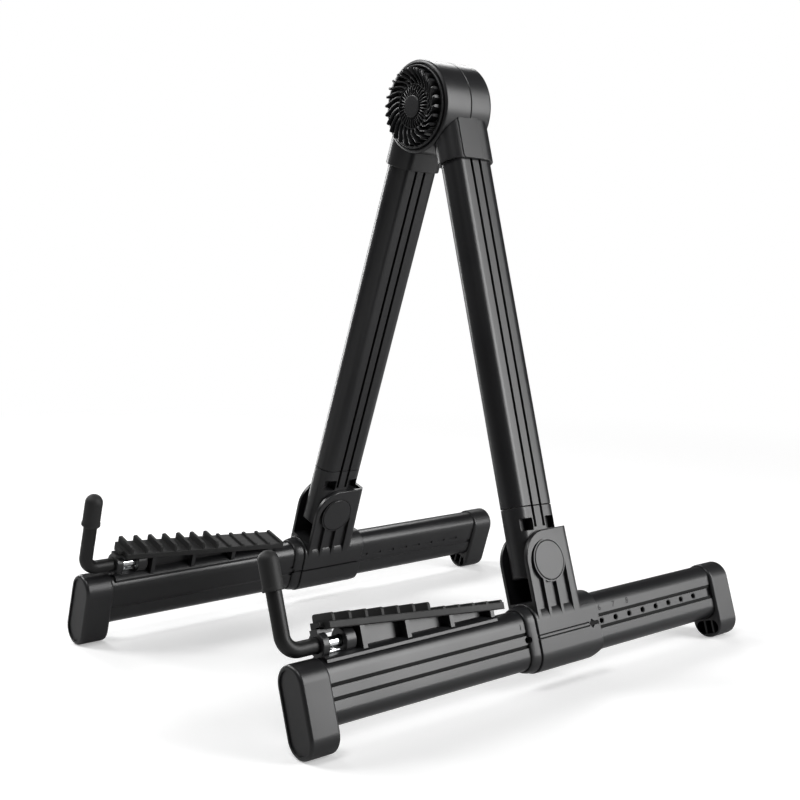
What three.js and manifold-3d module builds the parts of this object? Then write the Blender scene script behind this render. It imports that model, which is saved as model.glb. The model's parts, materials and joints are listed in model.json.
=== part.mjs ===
// Folding A-frame guitar stand. Millimetres, +Z up, knob and arms towards -Y.
// The origin is on the floor, at the middle of the stand's footprint.
import * as THREE from 'three';
import { mergeVertices } from 'three/addons/utils/BufferGeometryUtils.js';
import Module from 'manifold-3d';

const wasm = await Module();
wasm.setup();

// ---------------------------------------------------------------- driving dimensions

const SPREAD = THREE.MathUtils.degToRad(18);      // each half leans out this much
const LEAN = THREE.MathUtils.degToRad(2.1);       // legs lean back over the feet
const HUB_SETBACK = 20.9;                         // hub axis behind the footprint's middle
const LEG_OFFSET = 11.5;                          // leg centre beside the hub axis
const FOOT_DEPTH = 292;                           // hub axis to foot tube centre
const PIVOT_DEPTH = 255;                          // hub axis to fold pivot, along the leg

// One extruded section serves the legs and the feet.
const SECTION = { high: 30.6, thick: 15.6, corner: 7.4, wall: 1.8 };
const GROOVE = { offset: 3.1, wide: 1.0, deep: 0.8 };
const FIT = 0.3;                                  // gap between touching pieces
const EDGE = 0.6;                                 // broken edge on turned and moulded pieces
const OVER = 1;                                   // a cutting shape runs this far past a face
const BEYOND = 400;                               // further than any piece reaches

// Foot tube, measured along Y from the hub axis.
const FOOT = { front: -162, rear: 124, capFront: -174, capRear: 136 };
const HOLES = { first: -33.6, pitch: 11.35, count: 13, radius: 1.5 };
const TRACK = { drop: 2, wide: 2.4, deep: 0.9 };  // guide groove on the inner side
const NOTCH = { long: 6, tall: 1.6, deep: 0.6, rise: 1.6 };

const CAP = { half: 9.6, above: 16.1, below: 26.5, deep: 16.5, bevel: 1.6, wall: 2.2 };
const CAP_PANEL = { inset: 2.2, deep: 0.7 };
const CAP_SKIRT = { corner: 5, from: 5, web: 1 };   // hollow below the tube's socket
const TREAD = 0.3;                                // flat worn into each cap where it stands

// Hub axis above the floor, from the round bottoms of the leaning end caps.
const HUB_HEIGHT = (FOOT_DEPTH + CAP.below - CAP.half) * Math.cos(SPREAD)
  - LEG_OFFSET * Math.sin(SPREAD) + CAP.half - TREAD;

const LEG = { top: 27, seam: 226, tip: 263, spigot: 12 };
const TOE = { corner: 3.5, flat: 1, bulge: 11, heel: 13.6, heelDrop: 4.5, shoulder: 2 };
const POCKET = { near: 4.6, far: 12.6, top: 232, bottom: 238.5, deep: 1.6 };

const SLEEVE = { front: -33.6, rear: 19, wall: 2.3, ringIn: 1, ringLong: 6.4, chamfer: 6 };
const CHEEK = { radius: 16, rearWall: 2.6, corner: 5, rim: 2.4, recess: 1.5 };
const CLEVIS = { side: 0.4, rear: 0.6, slack: 1.1, base: 6 };  // room round the leg's lower end
const CHEEK_RIBS = { wide: 2, places: [-6.5, 2.6, 11.8], end: 284 };
const POINTER = { rise: 1, gap: 1.7, wide: 0.6, deep: 0.6, from: -34, to: 10.5 };
const PIVOT = { pin: 3.2, cap: 10.3, capThick: 1.0, proud: 0.2, boss: 0.9 };
const SPLIT = 0.8;                                // slit along the sleeve's inner side

const DRUM = { radius: 25.2, front: -18.6, seam: -0.6, rear: 15.2, rim: 22.6, lip: 1.2 };
const COLLAR = { wall: 1.4, top: 14, bottom: 36.5 };
const RECESS = { radius: 21.2, floor: -13.6 };
const KNOB = { radius: 20, base: -14, plate: -17, tips: -24, fins: 26, finWide: 1.5, finTip: 19.8 };
const KNOB_EYE = { ring: 12.2, face: -21, cap: 6.1, capFace: -22.2 };
const BOLT = { radius: 3, head: 6.2, headLong: 4, front: -17.6, rear: 8 };
const NUT = { radius: 6, front: -18.4, rear: -14.4 };
const WASHER = { inner: 4.2, outer: 18.5, front: -2.3, rear: -0.7 };
const PLUG = { radius: 8.6, front: 12.6, rear: 15.8 };

const PAD = { front: -152, rear: -44.5, half: 7.8, top: 261, slope: 0.0895, thick: 3.5 };
const FINS = { first: -149.2, pitch: 9.35, tall: 7, low: 5, thick: 1.8, tallHigh: 3.9, lowHigh: 1.3 };
const NOSE = { half: 3.4, long: 2.6, step: 0.2, thick: 2.2 };
const PLATE = { half: 6.6, thick: 1.6, sunk: 0.5 };
const TRAY = { front: -150, rear: -50, web: 2.4, ribThick: 2.4, ribs: [-133.5, -107, -79.5, -52.5] };

const NECK = { half: 3, low: 4.5, deep: 4 };
const SADDLE = { thick: 1.2, skirt: 2.4 };
const ARM = { axis: 270.8, radius: 3.7, upright: -173, bend: 7.4, top: 228 };
const QUARTER = 0.552;                            // handle length that rounds a quarter turn
const TIP = { radius: 4.8, top: 225, long: 18.5, dome: 5, domeSteps: 5 };
const LUG = { radius: 6, front: -156, rear: -152 };
const BOSS = { radius: 6, front: -143, rear: -137 };
const SHAFT = { radius: 2.7, front: -153.4, rear: -138.4 };
const CATCH = { half: 1.6, front: -151, rear: -144, thick: 0.5, bump: 0.5, gap: 0.35 };

// ---------------------------------------------------------------- finishes

const finish = (color, roughness, metalness) => ({ color, roughness, metalness });
const BLACK_PLASTIC = finish(0x1d1d1f, 0.42, 0);
const DARK_PLASTIC = finish(0x161617, 0.5, 0);
const RUBBER = finish(0x121212, 0.85, 0);
const GLOSS_BLACK = finish(0x0e0e10, 0.2, 0.1);
const CHROME = finish(0xd8dadc, 0.12, 1);
const STEEL = finish(0x9a9c9f, 0.35, 1);

// ---------------------------------------------------------------- shapes and solids

// A rectangle with round corners, centred on (cx, cy).
function roundedShape(cx, cy, halfX, halfY, corner) {
  const r = Math.min(corner, halfX, halfY);
  const shape = new THREE.Shape();
  shape.moveTo(cx - halfX + r, cy - halfY);
  shape.absarc(cx + halfX - r, cy - halfY + r, r, -Math.PI / 2, 0, false);
  shape.absarc(cx + halfX - r, cy + halfY - r, r, 0, Math.PI / 2, false);
  shape.absarc(cx - halfX + r, cy + halfY - r, r, Math.PI / 2, Math.PI, false);
  shape.absarc(cx - halfX + r, cy - halfY + r, r, Math.PI, Math.PI * 1.5, false);
  return shape;
}

function polygonShape(points) {
  return new THREE.Shape(points.map(([a, b]) => new THREE.Vector2(a, b)));
}

function discShape(cx, cy, radius, sides = 16) {
  return polygonShape(Array.from({ length: sides }, (unused, i) => {
    const turn = (i * 2 * Math.PI) / sides;
    return [cx + radius * Math.cos(turn), cy + radius * Math.sin(turn)];
  }));
}

function extrude(shape, depth, segments) {
  return new THREE.ExtrudeGeometry(shape, { depth, bevelEnabled: false, curveSegments: segments });
}

const axes = (x, y, z) => new THREE.Matrix4().makeBasis(
  new THREE.Vector3(...x), new THREE.Vector3(...y), new THREE.Vector3(...z));

// A shape drawn in (y, z), reaching from x0 to x1.
function alongX(shape, x0, x1, segments = 3) {
  const geometry = extrude(shape, x1 - x0, segments);
  return geometry.applyMatrix4(axes([0, 1, 0], [0, 0, 1], [1, 0, 0])).translate(x0, 0, 0);
}

// A shape drawn in (x, z), reaching from y0 to y1.
function alongY(shape, y0, y1, segments = 3) {
  const geometry = extrude(shape, y1 - y0, segments);
  return geometry.applyMatrix4(axes([1, 0, 0], [0, 0, 1], [0, -1, 0])).translate(0, y1, 0);
}

// A shape drawn in (x, y), reaching from z0 to z1.
function alongZ(shape, z0, z1, segments = 3) {
  return extrude(shape, z1 - z0, segments).translate(0, 0, z0);
}

function box(x0, x1, y0, y1, z0, z1) {
  const geometry = new THREE.BoxGeometry(x1 - x0, y1 - y0, z1 - z0);
  return geometry.translate((x0 + x1) / 2, (y0 + y1) / 2, (z0 + z1) / 2);
}

// A turned piece about the Y axis, from (radius, y) points that start and end on the axis.
function turned(points, segments) {
  const profile = points.map(([radius, y]) => new THREE.Vector2(radius, y));
  return new THREE.LatheGeometry(profile, segments);
}

function toSolid(source) {
  const geometry = source.clone();
  geometry.deleteAttribute('normal');
  geometry.deleteAttribute('uv');
  const merged = mergeVertices(geometry, 1e-4);
  return new wasm.Manifold(new wasm.Mesh({
    numProp: 3,
    vertProperties: new Float32Array(merged.attributes.position.array),
    triVerts: new Uint32Array(merged.index.array),
  }));
}

const join = (...pieces) => pieces.map(toSolid).reduce((a, b) => a.add(b));
const cut = (solid, ...tools) => tools.reduce((left, tool) => left.subtract(toSolid(tool)), solid);

function toGeometry(solid) {
  const mesh = solid.getMesh();
  const geometry = new THREE.BufferGeometry();
  geometry.setAttribute('position', new THREE.BufferAttribute(new Float32Array(mesh.vertProperties), 3));
  geometry.setIndex(new THREE.BufferAttribute(new Uint32Array(mesh.triVerts), 1));
  return geometry;
}

function flipped(source, x, y) {
  const geometry = (source.index ? source : mergeVertices(source)).clone().scale(x, y, 1);
  const index = geometry.index.array;
  for (let i = 0; i < index.length; i += 3) [index[i], index[i + 1]] = [index[i + 1], index[i]];
  return geometry;
}

// The same piece for the other side of the stand, and for the other end of a foot.
const mirrored = (geometry) => flipped(geometry, -1, 1);
const mirroredY = (geometry) => flipped(geometry, 1, -1);

function piece(group, name, shape, look) {
  const geometry = shape.isBufferGeometry ? shape : toGeometry(shape);
  geometry.deleteAttribute('uv');
  geometry.computeVertexNormals();
  const mesh = new THREE.Mesh(geometry, new THREE.MeshStandardMaterial(look));
  mesh.name = name;
  group.add(mesh);
}

// ---------------------------------------------------------------- the shared extrusion

const HALF_THICK = SECTION.thick / 2;
const HALF_HIGH = SECTION.high / 2;

// The section's outline in (across the thickness, along the height), grown by a margin.
function sectionShape(cx, cy, margin) {
  return roundedShape(cx, cy, HALF_THICK + margin, HALF_HIGH + margin, SECTION.corner + margin);
}

// ---------------------------------------------------------------- hub

const DRUM_SIDES = 44;

function drumSlice(y0, y1, radius = DRUM.radius) {
  return alongY(discShape(0, 0, radius, DRUM_SIDES), y0, y1);
}

// The collar that holds the leg tube's top, in the leaning leg's frame.
function collarSolid() {
  const margin = FIT + COLLAR.wall;
  const body = alongZ(sectionShape(LEG_OFFSET, 0, margin), -COLLAR.bottom, -COLLAR.top).rotateX(-LEAN);
  const hollow = alongZ(sectionShape(LEG_OFFSET, 0, FIT), -COLLAR.bottom - OVER, -LEG.top + FIT)
    .rotateX(-LEAN);
  return cut(toSolid(body), hollow);
}

// The left leg's head: front half of the drum, with the knob's recess in its face.
function frontHead() {
  const y0 = DRUM.front;
  const y1 = DRUM.seam - FIT;
  const face = y0 - DRUM.lip;
  const rim = turned([[0, face], [DRUM.rim - EDGE, face], [DRUM.rim, face + EDGE],
    [DRUM.radius, y0 + EDGE], [DRUM.radius, y0 + 2 * OVER], [0, y0 + 2 * OVER]], DRUM_SIDES);
  const collar = cut(collarSolid(), drumSlice(y1, BEYOND, DRUM.radius + FIT));
  return cut(join(drumSlice(y0 + OVER, y1), rim).add(collar),
    drumSlice(face - OVER, RECESS.floor, RECESS.radius),
    alongY(discShape(0, 0, BOLT.radius + FIT), RECESS.floor - OVER, OVER),
    drumSlice(WASHER.front - FIT, OVER, WASHER.outer + FIT));
}

// The right leg's head: rear half of the drum, with the bolt head's pocket behind.
function rearHead() {
  const y0 = DRUM.seam + FIT;
  const y1 = DRUM.rear;
  const body = turned([[0, y0], [DRUM.radius, y0], [DRUM.radius, y1 - 2 * EDGE],
    [DRUM.radius - 2 * EDGE, y1], [0, y1]], DRUM_SIDES);
  const collar = cut(collarSolid(), drumSlice(-BEYOND, y0, DRUM.radius + FIT));
  return cut(toSolid(body).add(collar),
    alongY(discShape(0, 0, BOLT.radius + FIT), y0 - OVER, BOLT.rear + OVER),
    alongY(discShape(0, 0, BOLT.head + FIT, 6), BOLT.rear - FIT, y1 + OVER),
    alongY(discShape(0, 0, PLUG.radius + FIT, 20), PLUG.front - FIT, y1 + OVER));
}

// Dished finger knob: a plate, a raised eye and fins whose tips stand furthest out.
function knobSolid() {
  const { base, plate, tips, radius } = KNOB;
  const body = turned([[0, KNOB_EYE.face], [KNOB_EYE.ring, KNOB_EYE.face], [KNOB_EYE.ring, plate],
    [radius, plate], [radius, base], [0, base]], KNOB.fins);
  let solid = toSolid(body);
  const inner = KNOB_EYE.ring - OVER;
  const outline = polygonShape([[inner, plate + OVER], [inner, KNOB_EYE.face + FIT],
    [KNOB.finTip, tips], [KNOB.finTip, plate + OVER]]);
  for (let i = 0; i < KNOB.fins; i += 1) {
    const fin = extrude(outline, KNOB.finWide, 1).translate(0, 0, -KNOB.finWide / 2);
    solid = solid.add(toSolid(fin.rotateY((i * 2 * Math.PI) / KNOB.fins)));
  }
  return cut(solid,
    alongY(discShape(0, 0, KNOB_EYE.cap + FIT, 20), KNOB_EYE.face - OVER, NUT.front - FIT),
    alongY(discShape(0, 0, NUT.radius + FIT, 6), NUT.front - OVER, NUT.rear + FIT),
    alongY(discShape(0, 0, BOLT.radius + FIT), NUT.rear - OVER, base + OVER));
}

function buildHub(frames) {
  piece(frames.left, 'hub_front_head', mirrored(toGeometry(frontHead())), BLACK_PLASTIC);
  piece(frames.right, 'hub_rear_head', rearHead(), BLACK_PLASTIC);
  piece(frames.hub, 'clamp_knob', knobSolid(), DARK_PLASTIC);
  piece(frames.hub, 'knob_cap', turned([[0, KNOB_EYE.capFace], [KNOB_EYE.cap - EDGE, KNOB_EYE.capFace],
    [KNOB_EYE.cap, KNOB_EYE.capFace + EDGE], [KNOB_EYE.cap, NUT.front - 2 * FIT],
    [0, NUT.front - 2 * FIT]], 20), BLACK_PLASTIC);
  piece(frames.hub, 'clamp_nut', cut(
    toSolid(alongY(discShape(0, 0, NUT.radius, 6), NUT.front, NUT.rear)),
    alongY(discShape(0, 0, BOLT.radius + FIT), NUT.front - OVER, NUT.rear + OVER)), STEEL);
  piece(frames.right, 'clamp_bolt', join(
    alongY(discShape(0, 0, BOLT.radius), BOLT.front, BOLT.rear + OVER),
    alongY(discShape(0, 0, BOLT.head, 6), BOLT.rear, BOLT.rear + BOLT.headLong)), STEEL);
  piece(frames.left, 'friction_washer', cut(
    toSolid(alongY(discShape(0, 0, WASHER.outer, 24), WASHER.front, WASHER.rear)),
    alongY(discShape(0, 0, WASHER.inner), WASHER.front - OVER, WASHER.rear + OVER)), RUBBER);
  piece(frames.right, 'hub_rear_plug', turned([[0, PLUG.front], [PLUG.radius, PLUG.front],
    [PLUG.radius, PLUG.rear - EDGE], [PLUG.radius - EDGE, PLUG.rear], [0, PLUG.rear]], 20), DARK_PLASTIC);
}

// ---------------------------------------------------------------- legs

// Frames below belong to the right half: X outward from the hub, Z up along the half.
// Leg pieces are drawn straight and placed in a frame that leans back.

// The strip grooves on a face at x, running along the given axis.
function legGrooves(z0, z1) {
  const faces = [LEG_OFFSET + HALF_THICK, LEG_OFFSET - HALF_THICK];
  return faces.flatMap((x) => [-1, 1].map((way) => {
    const y = way * GROOVE.offset;
    return box(x - GROOVE.deep, x + GROOVE.deep, y - GROOVE.wide / 2, y + GROOVE.wide / 2, z0, z1);
  }));
}

function legTube() {
  const { top, seam } = LEG;
  return cut(toSolid(alongZ(sectionShape(LEG_OFFSET, 0, 0), -seam + FIT, -top)),
    alongZ(sectionShape(LEG_OFFSET, 0, -SECTION.wall), -seam - OVER, -top + OVER),
    ...legGrooves(-seam - OVER, -top + OVER));
}

// The fitting in the tube's lower end: a plug above, the pivot's eye below.
function legEnd() {
  const { seam, tip, spigot } = LEG;
  const eye = new THREE.Shape();
  const front = -HALF_HIGH;
  eye.moveTo(front, -seam);
  eye.lineTo(front, -tip + TOE.corner);
  eye.absarc(front + TOE.corner, -tip + TOE.corner, TOE.corner, Math.PI, Math.PI * 1.5, false);
  eye.lineTo(TOE.flat, -tip);
  eye.quadraticCurveTo(TOE.bulge, -tip, TOE.heel, -PIVOT_DEPTH - TOE.heelDrop);
  eye.lineTo(HALF_HIGH, -PIVOT_DEPTH + TOE.shoulder);
  eye.lineTo(HALF_HIGH, -seam);
  const outline = toSolid(alongX(eye, -BEYOND, BEYOND));
  const body = toSolid(alongZ(sectionShape(LEG_OFFSET, 0, 0), -tip - OVER, -seam)).intersect(outline);
  const inside = sectionShape(LEG_OFFSET, 0, -SECTION.wall - FIT);
  const plug = toSolid(alongZ(inside, -seam - OVER, -seam + spigot));
  const pockets = [-1, 1].flatMap((face) => [-1, 1].map((way) => {
    const x = LEG_OFFSET + face * HALF_THICK;
    const y = (way * (POCKET.near + POCKET.far)) / 2;
    const half = (POCKET.far - POCKET.near) / 2;
    return box(x - POCKET.deep, x + POCKET.deep, y - half, y + half, -POCKET.bottom, -POCKET.top);
  }));
  return cut(plug.add(body), ...legGrooves(-POCKET.top, -seam + OVER), ...pockets,
    alongX(discShape(0, -PIVOT_DEPTH, PIVOT.pin + FIT), -BEYOND, BEYOND));
}

// ---------------------------------------------------------------- sliders

const PIVOT_Y = -PIVOT_DEPTH * Math.sin(LEAN);
const PIVOT_Z = -PIVOT_DEPTH * Math.cos(LEAN);
const SLEEVE_HALF = HALF_THICK + FIT + SLEEVE.wall;
const SLEEVE_TOP = -FOOT_DEPTH + HALF_HIGH + FIT + SLEEVE.wall;
const CHEEK_REAR = PIVOT_Y + HALF_HIGH + CLEVIS.slack + CHEEK.rearWall;

// The clevis seen from the side: round in front, square behind, grown or shrunk by a margin.
function cheekShape(margin, bottom) {
  const r = CHEEK.radius + margin;
  const shape = new THREE.Shape();
  shape.moveTo(PIVOT_Y - r, bottom);
  shape.lineTo(CHEEK_REAR + margin, bottom);
  shape.lineTo(CHEEK_REAR + margin, PIVOT_Z + r);
  shape.lineTo(PIVOT_Y, PIVOT_Z + r);
  shape.absarc(PIVOT_Y, PIVOT_Z, r, Math.PI / 2, Math.PI, false);
  return shape;
}

// Recess in a cheek's outer face, leaving the rim, the pivot boss and the three ribs.
function cheekRecess(face) {
  const x = LEG_OFFSET + face * SLEEVE_HALF;
  const x0 = Math.min(x, x - face * CHEEK.recess);
  const x1 = Math.max(x, x - face * CHEEK.recess);
  const last = PIVOT_Y + CHEEK_RIBS.places.at(-1);
  const reach = CHEEK.recess + OVER;
  const field = new THREE.Shape();
  const r = CHEEK.radius - CHEEK.rim;
  field.moveTo(PIVOT_Y - r, -CHEEK_RIBS.end);
  field.lineTo(last, -CHEEK_RIBS.end);
  field.lineTo(last, PIVOT_Z);
  field.absarc(PIVOT_Y, PIVOT_Z, r, 0, Math.PI, false);
  const ribs = CHEEK_RIBS.places.map((place) => {
    const y = PIVOT_Y + place;
    return box(x - reach, x + reach, y - CHEEK_RIBS.wide / 2, y + CHEEK_RIBS.wide / 2,
      -CHEEK_RIBS.end - OVER, PIVOT_Z);
  });
  const boss = alongX(discShape(PIVOT_Y, PIVOT_Z, PIVOT.cap + PIVOT.boss, 20), x - reach, x + reach);
  const pocket = alongX(field, face > 0 ? x0 : x0 - OVER, face > 0 ? x1 + OVER : x1);
  return cut(toSolid(pocket), ...ribs, boss);
}

function slider() {
  const { front, rear, ringIn, ringLong, chamfer, wall } = SLEEVE;
  const mid = -FOOT_DEPTH;
  const bottom = mid - HALF_HIGH - FIT - wall;
  const tube = alongY(sectionShape(LEG_OFFSET, mid, FIT + wall), front + ringLong, rear);
  const ring = alongY(sectionShape(LEG_OFFSET, mid, FIT + wall - ringIn), front,
    front + ringLong + EDGE);
  const long = rear - front;
  const plan = roundedShape(LEG_OFFSET, CHEEK_REAR - long / 2, SLEEVE_HALF, long / 2, CHEEK.corner);
  const cheeks = alongX(cheekShape(0, mid + CLEVIS.base), LEG_OFFSET - SLEEVE_HALF, LEG_OFFSET + SLEEVE_HALF);
  const clevis = toSolid(cheeks).intersect(toSolid(alongZ(plan, mid, 0)));
  const slot = box(LEG_OFFSET - HALF_THICK - CLEVIS.side, LEG_OFFSET + HALF_THICK + CLEVIS.side,
    -BEYOND, HALF_HIGH + CLEVIS.rear, -BEYOND, BEYOND).rotateX(-LEAN);
  const above = box(-BEYOND, BEYOND, -BEYOND, BEYOND, SLEEVE_TOP, BEYOND);
  const gap = toSolid(slot).intersect(toSolid(above));
  const corner = polygonShape([[rear + OVER, bottom - OVER], [rear + OVER, bottom + chamfer - OVER],
    [rear - chamfer, bottom], [rear - chamfer, bottom - OVER]]);
  const lines = [0, 1].map((row) => {
    const z = mid + POINTER.rise - row * POINTER.gap;
    const x = LEG_OFFSET + SLEEVE_HALF;
    return box(x - POINTER.deep, x + OVER, POINTER.from, POINTER.to,
      z - POINTER.wide / 2, z + POINTER.wide / 2);
  });
  const split = box(LEG_OFFSET - SLEEVE_HALF - OVER, LEG_OFFSET - SLEEVE_HALF + POINTER.deep,
    front - OVER, rear + OVER, mid - SPLIT / 2, mid + SPLIT / 2);
  const bore = alongY(sectionShape(LEG_OFFSET, mid, FIT), front - OVER, rear + OVER);
  const caps = [-1, 1].map((face) => {
    const x = LEG_OFFSET + face * SLEEVE_HALF;
    return alongX(discShape(PIVOT_Y, PIVOT_Z, PIVOT.cap + FIT, 20), x - PIVOT.capThick, x + PIVOT.capThick);
  });
  return cut(join(tube, ring).add(clevis).subtract(gap).subtract(cheekRecess(1)).subtract(cheekRecess(-1)),
    bore, alongX(corner, -BEYOND, BEYOND), ...lines, split, ...caps,
    alongX(discShape(PIVOT_Y, PIVOT_Z, PIVOT.pin + FIT), -BEYOND, BEYOND));
}

// ---------------------------------------------------------------- feet

function footTube() {
  const mid = -FOOT_DEPTH;
  const outerFace = LEG_OFFSET + HALF_THICK;
  const innerFace = LEG_OFFSET - HALF_THICK;
  const grooves = [-1, 1].map((way) => {
    const z = mid + way * GROOVE.offset;
    return box(outerFace - GROOVE.deep, outerFace + OVER, FOOT.front - OVER, FOOT.rear + OVER,
      z - GROOVE.wide / 2, z + GROOVE.wide / 2);
  });
  const track = box(innerFace - OVER, innerFace + TRACK.deep, FOOT.front - OVER, FOOT.rear + OVER,
    mid - TRACK.drop - TRACK.wide / 2, mid - TRACK.drop + TRACK.wide / 2);
  const holes = Array.from({ length: HOLES.count }, (unused, i) => {
    const hole = discShape(HOLES.first + i * HOLES.pitch, mid, HOLES.radius, 8);
    return alongX(hole, outerFace - SECTION.wall - OVER, outerFace + OVER);
  });
  const notches = Array.from({ length: HOLES.count }, (unused, i) => {
    const y = HOLES.first + i * HOLES.pitch;
    return box(innerFace - OVER, innerFace + NOTCH.deep, y - NOTCH.long / 2, y + NOTCH.long / 2,
      mid + NOTCH.rise, mid + NOTCH.rise + NOTCH.tall);
  });
  return cut(toSolid(alongY(sectionShape(LEG_OFFSET, mid, 0), FOOT.front, FOOT.rear)),
    alongY(sectionShape(LEG_OFFSET, mid, -SECTION.wall), FOOT.front - OVER, FOOT.rear + OVER),
    ...grooves, track, ...holes, ...notches);
}

// An end cap drawn with its outer face at y = 0 and its socket towards +Y.
function capSolid() {
  const mid = -FOOT_DEPTH;
  const halfHigh = (CAP.above + CAP.below) / 2;
  const centre = mid + (CAP.above - CAP.below) / 2;
  const outline = (inset) => {
    const half = CAP.half - inset;
    return roundedShape(LEG_OFFSET, centre, half, halfHigh - inset, half);
  };
  const barrel = new THREE.ExtrudeGeometry(outline(0), { depth: CAP.deep, curveSegments: 3,
    bevelThickness: CAP.bevel, bevelSize: CAP.bevel, bevelOffset: -CAP.bevel, bevelSegments: 2 });
  barrel.applyMatrix4(axes([1, 0, 0], [0, 0, 1], [0, -1, 0])).translate(0, CAP.deep + CAP.bevel, 0);
  const floor = box(-BEYOND, BEYOND, -BEYOND, BEYOND, -BEYOND, 0);
  floor.translate(0, 0, -HUB_HEIGHT).rotateY(SPREAD);
  const skirtTop = mid - HALF_HIGH - FIT - CAP_SKIRT.web;
  const skirtHalf = (CAP.below - HALF_HIGH - CAP.wall - CAP_SKIRT.web) / 2;
  const skirt = roundedShape(LEG_OFFSET, skirtTop - skirtHalf, CAP.half - CAP.wall, skirtHalf,
    CAP_SKIRT.corner);
  const socketFloor = FOOT.front - FOOT.capFront - FIT;
  return cut(toSolid(barrel), floor, box(-BEYOND, BEYOND, CAP.deep, BEYOND, -BEYOND, BEYOND),
    alongY(outline(CAP_PANEL.inset), -OVER, CAP_PANEL.deep),
    alongY(sectionShape(LEG_OFFSET, mid, FIT), socketFloor, CAP.deep + OVER),
    alongY(skirt, CAP_SKIRT.from, CAP.deep + OVER));
}

// ---------------------------------------------------------------- wedge, pad and arm

const TUBE_TOP = -FOOT_DEPTH + HALF_HIGH;
const AXIS_Z = -ARM.axis;

const padTop = (y) => -(PAD.top + PAD.slope * (y - PAD.front));

// A band that follows the wedge's slope, between two depths below the pad's top.
function slopedBand(y0, y1, upper, lower) {
  return polygonShape([[y0, padTop(y0) - lower], [y1, padTop(y1) - lower],
    [y1, padTop(y1) - upper], [y0, padTop(y0) - upper]]);
}

// Wedge tray: a saddle on the tube, a middle web, cross ribs, a sloping plate and the arm's bearings.
function wedgeTray() {
  const { front, rear, web, ribThick, ribs } = TRAY;
  const x = LEG_OFFSET;
  const start = (BOSS.front + BOSS.rear) / 2;
  const under = (y) => padTop(y) - PAD.thick + PLATE.sunk;
  const wedge = polygonShape([[start, TUBE_TOP], [rear, TUBE_TOP],
    [rear, under(rear)], [start, under(start)]]);
  const plateBand = slopedBand(front + FIT, rear, PAD.thick - PLATE.thick, PAD.thick);
  const plate = alongX(plateBand, x - PLATE.half, x + PLATE.half);
  const saddle = toSolid(alongY(sectionShape(x, -FOOT_DEPTH, FIT + SADDLE.thick), LUG.front, rear))
    .intersect(toSolid(box(x - PLATE.half, x + PLATE.half, -BEYOND, BEYOND,
      TUBE_TOP - SADDLE.skirt, BEYOND)));
  const middle = toSolid(alongX(wedge, x - web / 2, x + web / 2));
  const cross = ribs.map((y) => toSolid(alongX(wedge, x - PLATE.half, x + PLATE.half))
    .intersect(toSolid(box(-BEYOND, BEYOND, y - ribThick / 2, y + ribThick / 2, -BEYOND, BEYOND))));
  const lug = alongY(discShape(x, AXIS_Z, LUG.radius), LUG.front, LUG.rear);
  const neck = box(x - NECK.half, x + NECK.half, LUG.front, LUG.rear + NECK.deep,
    AXIS_Z + NECK.low, under(LUG.rear));
  const boss = alongY(discShape(x, AXIS_Z, BOSS.radius), BOSS.front, BOSS.rear);
  const body = [...cross, saddle].reduce((a, b) => a.add(b), middle.add(join(plate, lug, neck, boss)));
  return cut(body,
    alongY(sectionShape(x, -FOOT_DEPTH, FIT), -BEYOND, BEYOND),
    alongY(discShape(x, AXIS_Z, ARM.radius + FIT), LUG.front - OVER, LUG.rear + OVER),
    alongY(discShape(x, AXIS_Z, SHAFT.radius + FIT), BOSS.front - OVER, SHAFT.rear + FIT));
}

function wedgePad() {
  const x = LEG_OFFSET;
  const { front, rear, half, thick } = PAD;
  const nose = slopedBand(front - NOSE.long, front + OVER, NOSE.step, NOSE.step + NOSE.thick);
  let pad = join(alongX(slopedBand(front, rear, 0, thick), x - half, x + half),
    alongX(nose, x - NOSE.half, x + NOSE.half));
  for (let i = 0; i < FINS.tall + FINS.low; i += 1) {
    const y = FINS.first + i * FINS.pitch;
    const rise = i < FINS.tall ? FINS.tallHigh : FINS.lowHigh;
    pad = pad.add(toSolid(box(x - half, x + half, y - FINS.thick / 2, y + FINS.thick / 2,
      padTop(y) - OVER, padTop(y) + rise)));
  }
  const upper = thick - PLATE.thick - FIT;
  const pocket = slopedBand(TRAY.front, TRAY.rear + FIT, upper, thick + OVER);
  const neckRoom = slopedBand(front - FIT, TRAY.front + FIT, upper, thick + OVER);
  return cut(pad, alongX(pocket, x - PLATE.half - FIT, x + PLATE.half + FIT),
    alongX(neckRoom, x - NECK.half - FIT, x + NECK.half + FIT));
}

// The bent rod: along the foot, round one bend, and straight up.
function armRod() {
  const x = LEG_OFFSET;
  const { upright, bend, top, radius } = ARM;
  const path = new THREE.CurvePath();
  const corner = new THREE.Vector3(x, upright, AXIS_Z);
  const start = new THREE.Vector3(x, SHAFT.front - FIT, AXIS_Z);
  const into = new THREE.Vector3(x, upright + bend, AXIS_Z);
  const out = new THREE.Vector3(x, upright, AXIS_Z + bend);
  path.add(new THREE.LineCurve3(start, into));
  path.add(new THREE.CubicBezierCurve3(into, into.clone().lerp(corner, QUARTER),
    out.clone().lerp(corner, QUARTER), out));
  path.add(new THREE.LineCurve3(out, new THREE.Vector3(x, upright, -top)));
  return new THREE.ExtrudeGeometry(discShape(0, 0, radius, 12), { steps: 16, extrudePath: path });
}

function armTip() {
  const { radius, top, long, dome, domeSteps } = TIP;
  const hole = ARM.radius + FIT;
  const points = [[0, -ARM.top + FIT], [hole, -ARM.top + FIT], [hole, -top - long],
    [radius - FIT, -top - long], [radius, -top - long + EDGE], [radius, -top - dome]];
  for (let i = 1; i <= domeSteps; i += 1) {
    const turn = (i * Math.PI) / (2 * domeSteps);
    points.push([radius * Math.cos(turn), -top - dome + dome * Math.sin(turn)]);
  }
  points[points.length - 1][0] = 0;
  const tip = turned(points, 16).rotateX(Math.PI / 2);
  return tip.translate(LEG_OFFSET, ARM.upright, 0);
}

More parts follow.
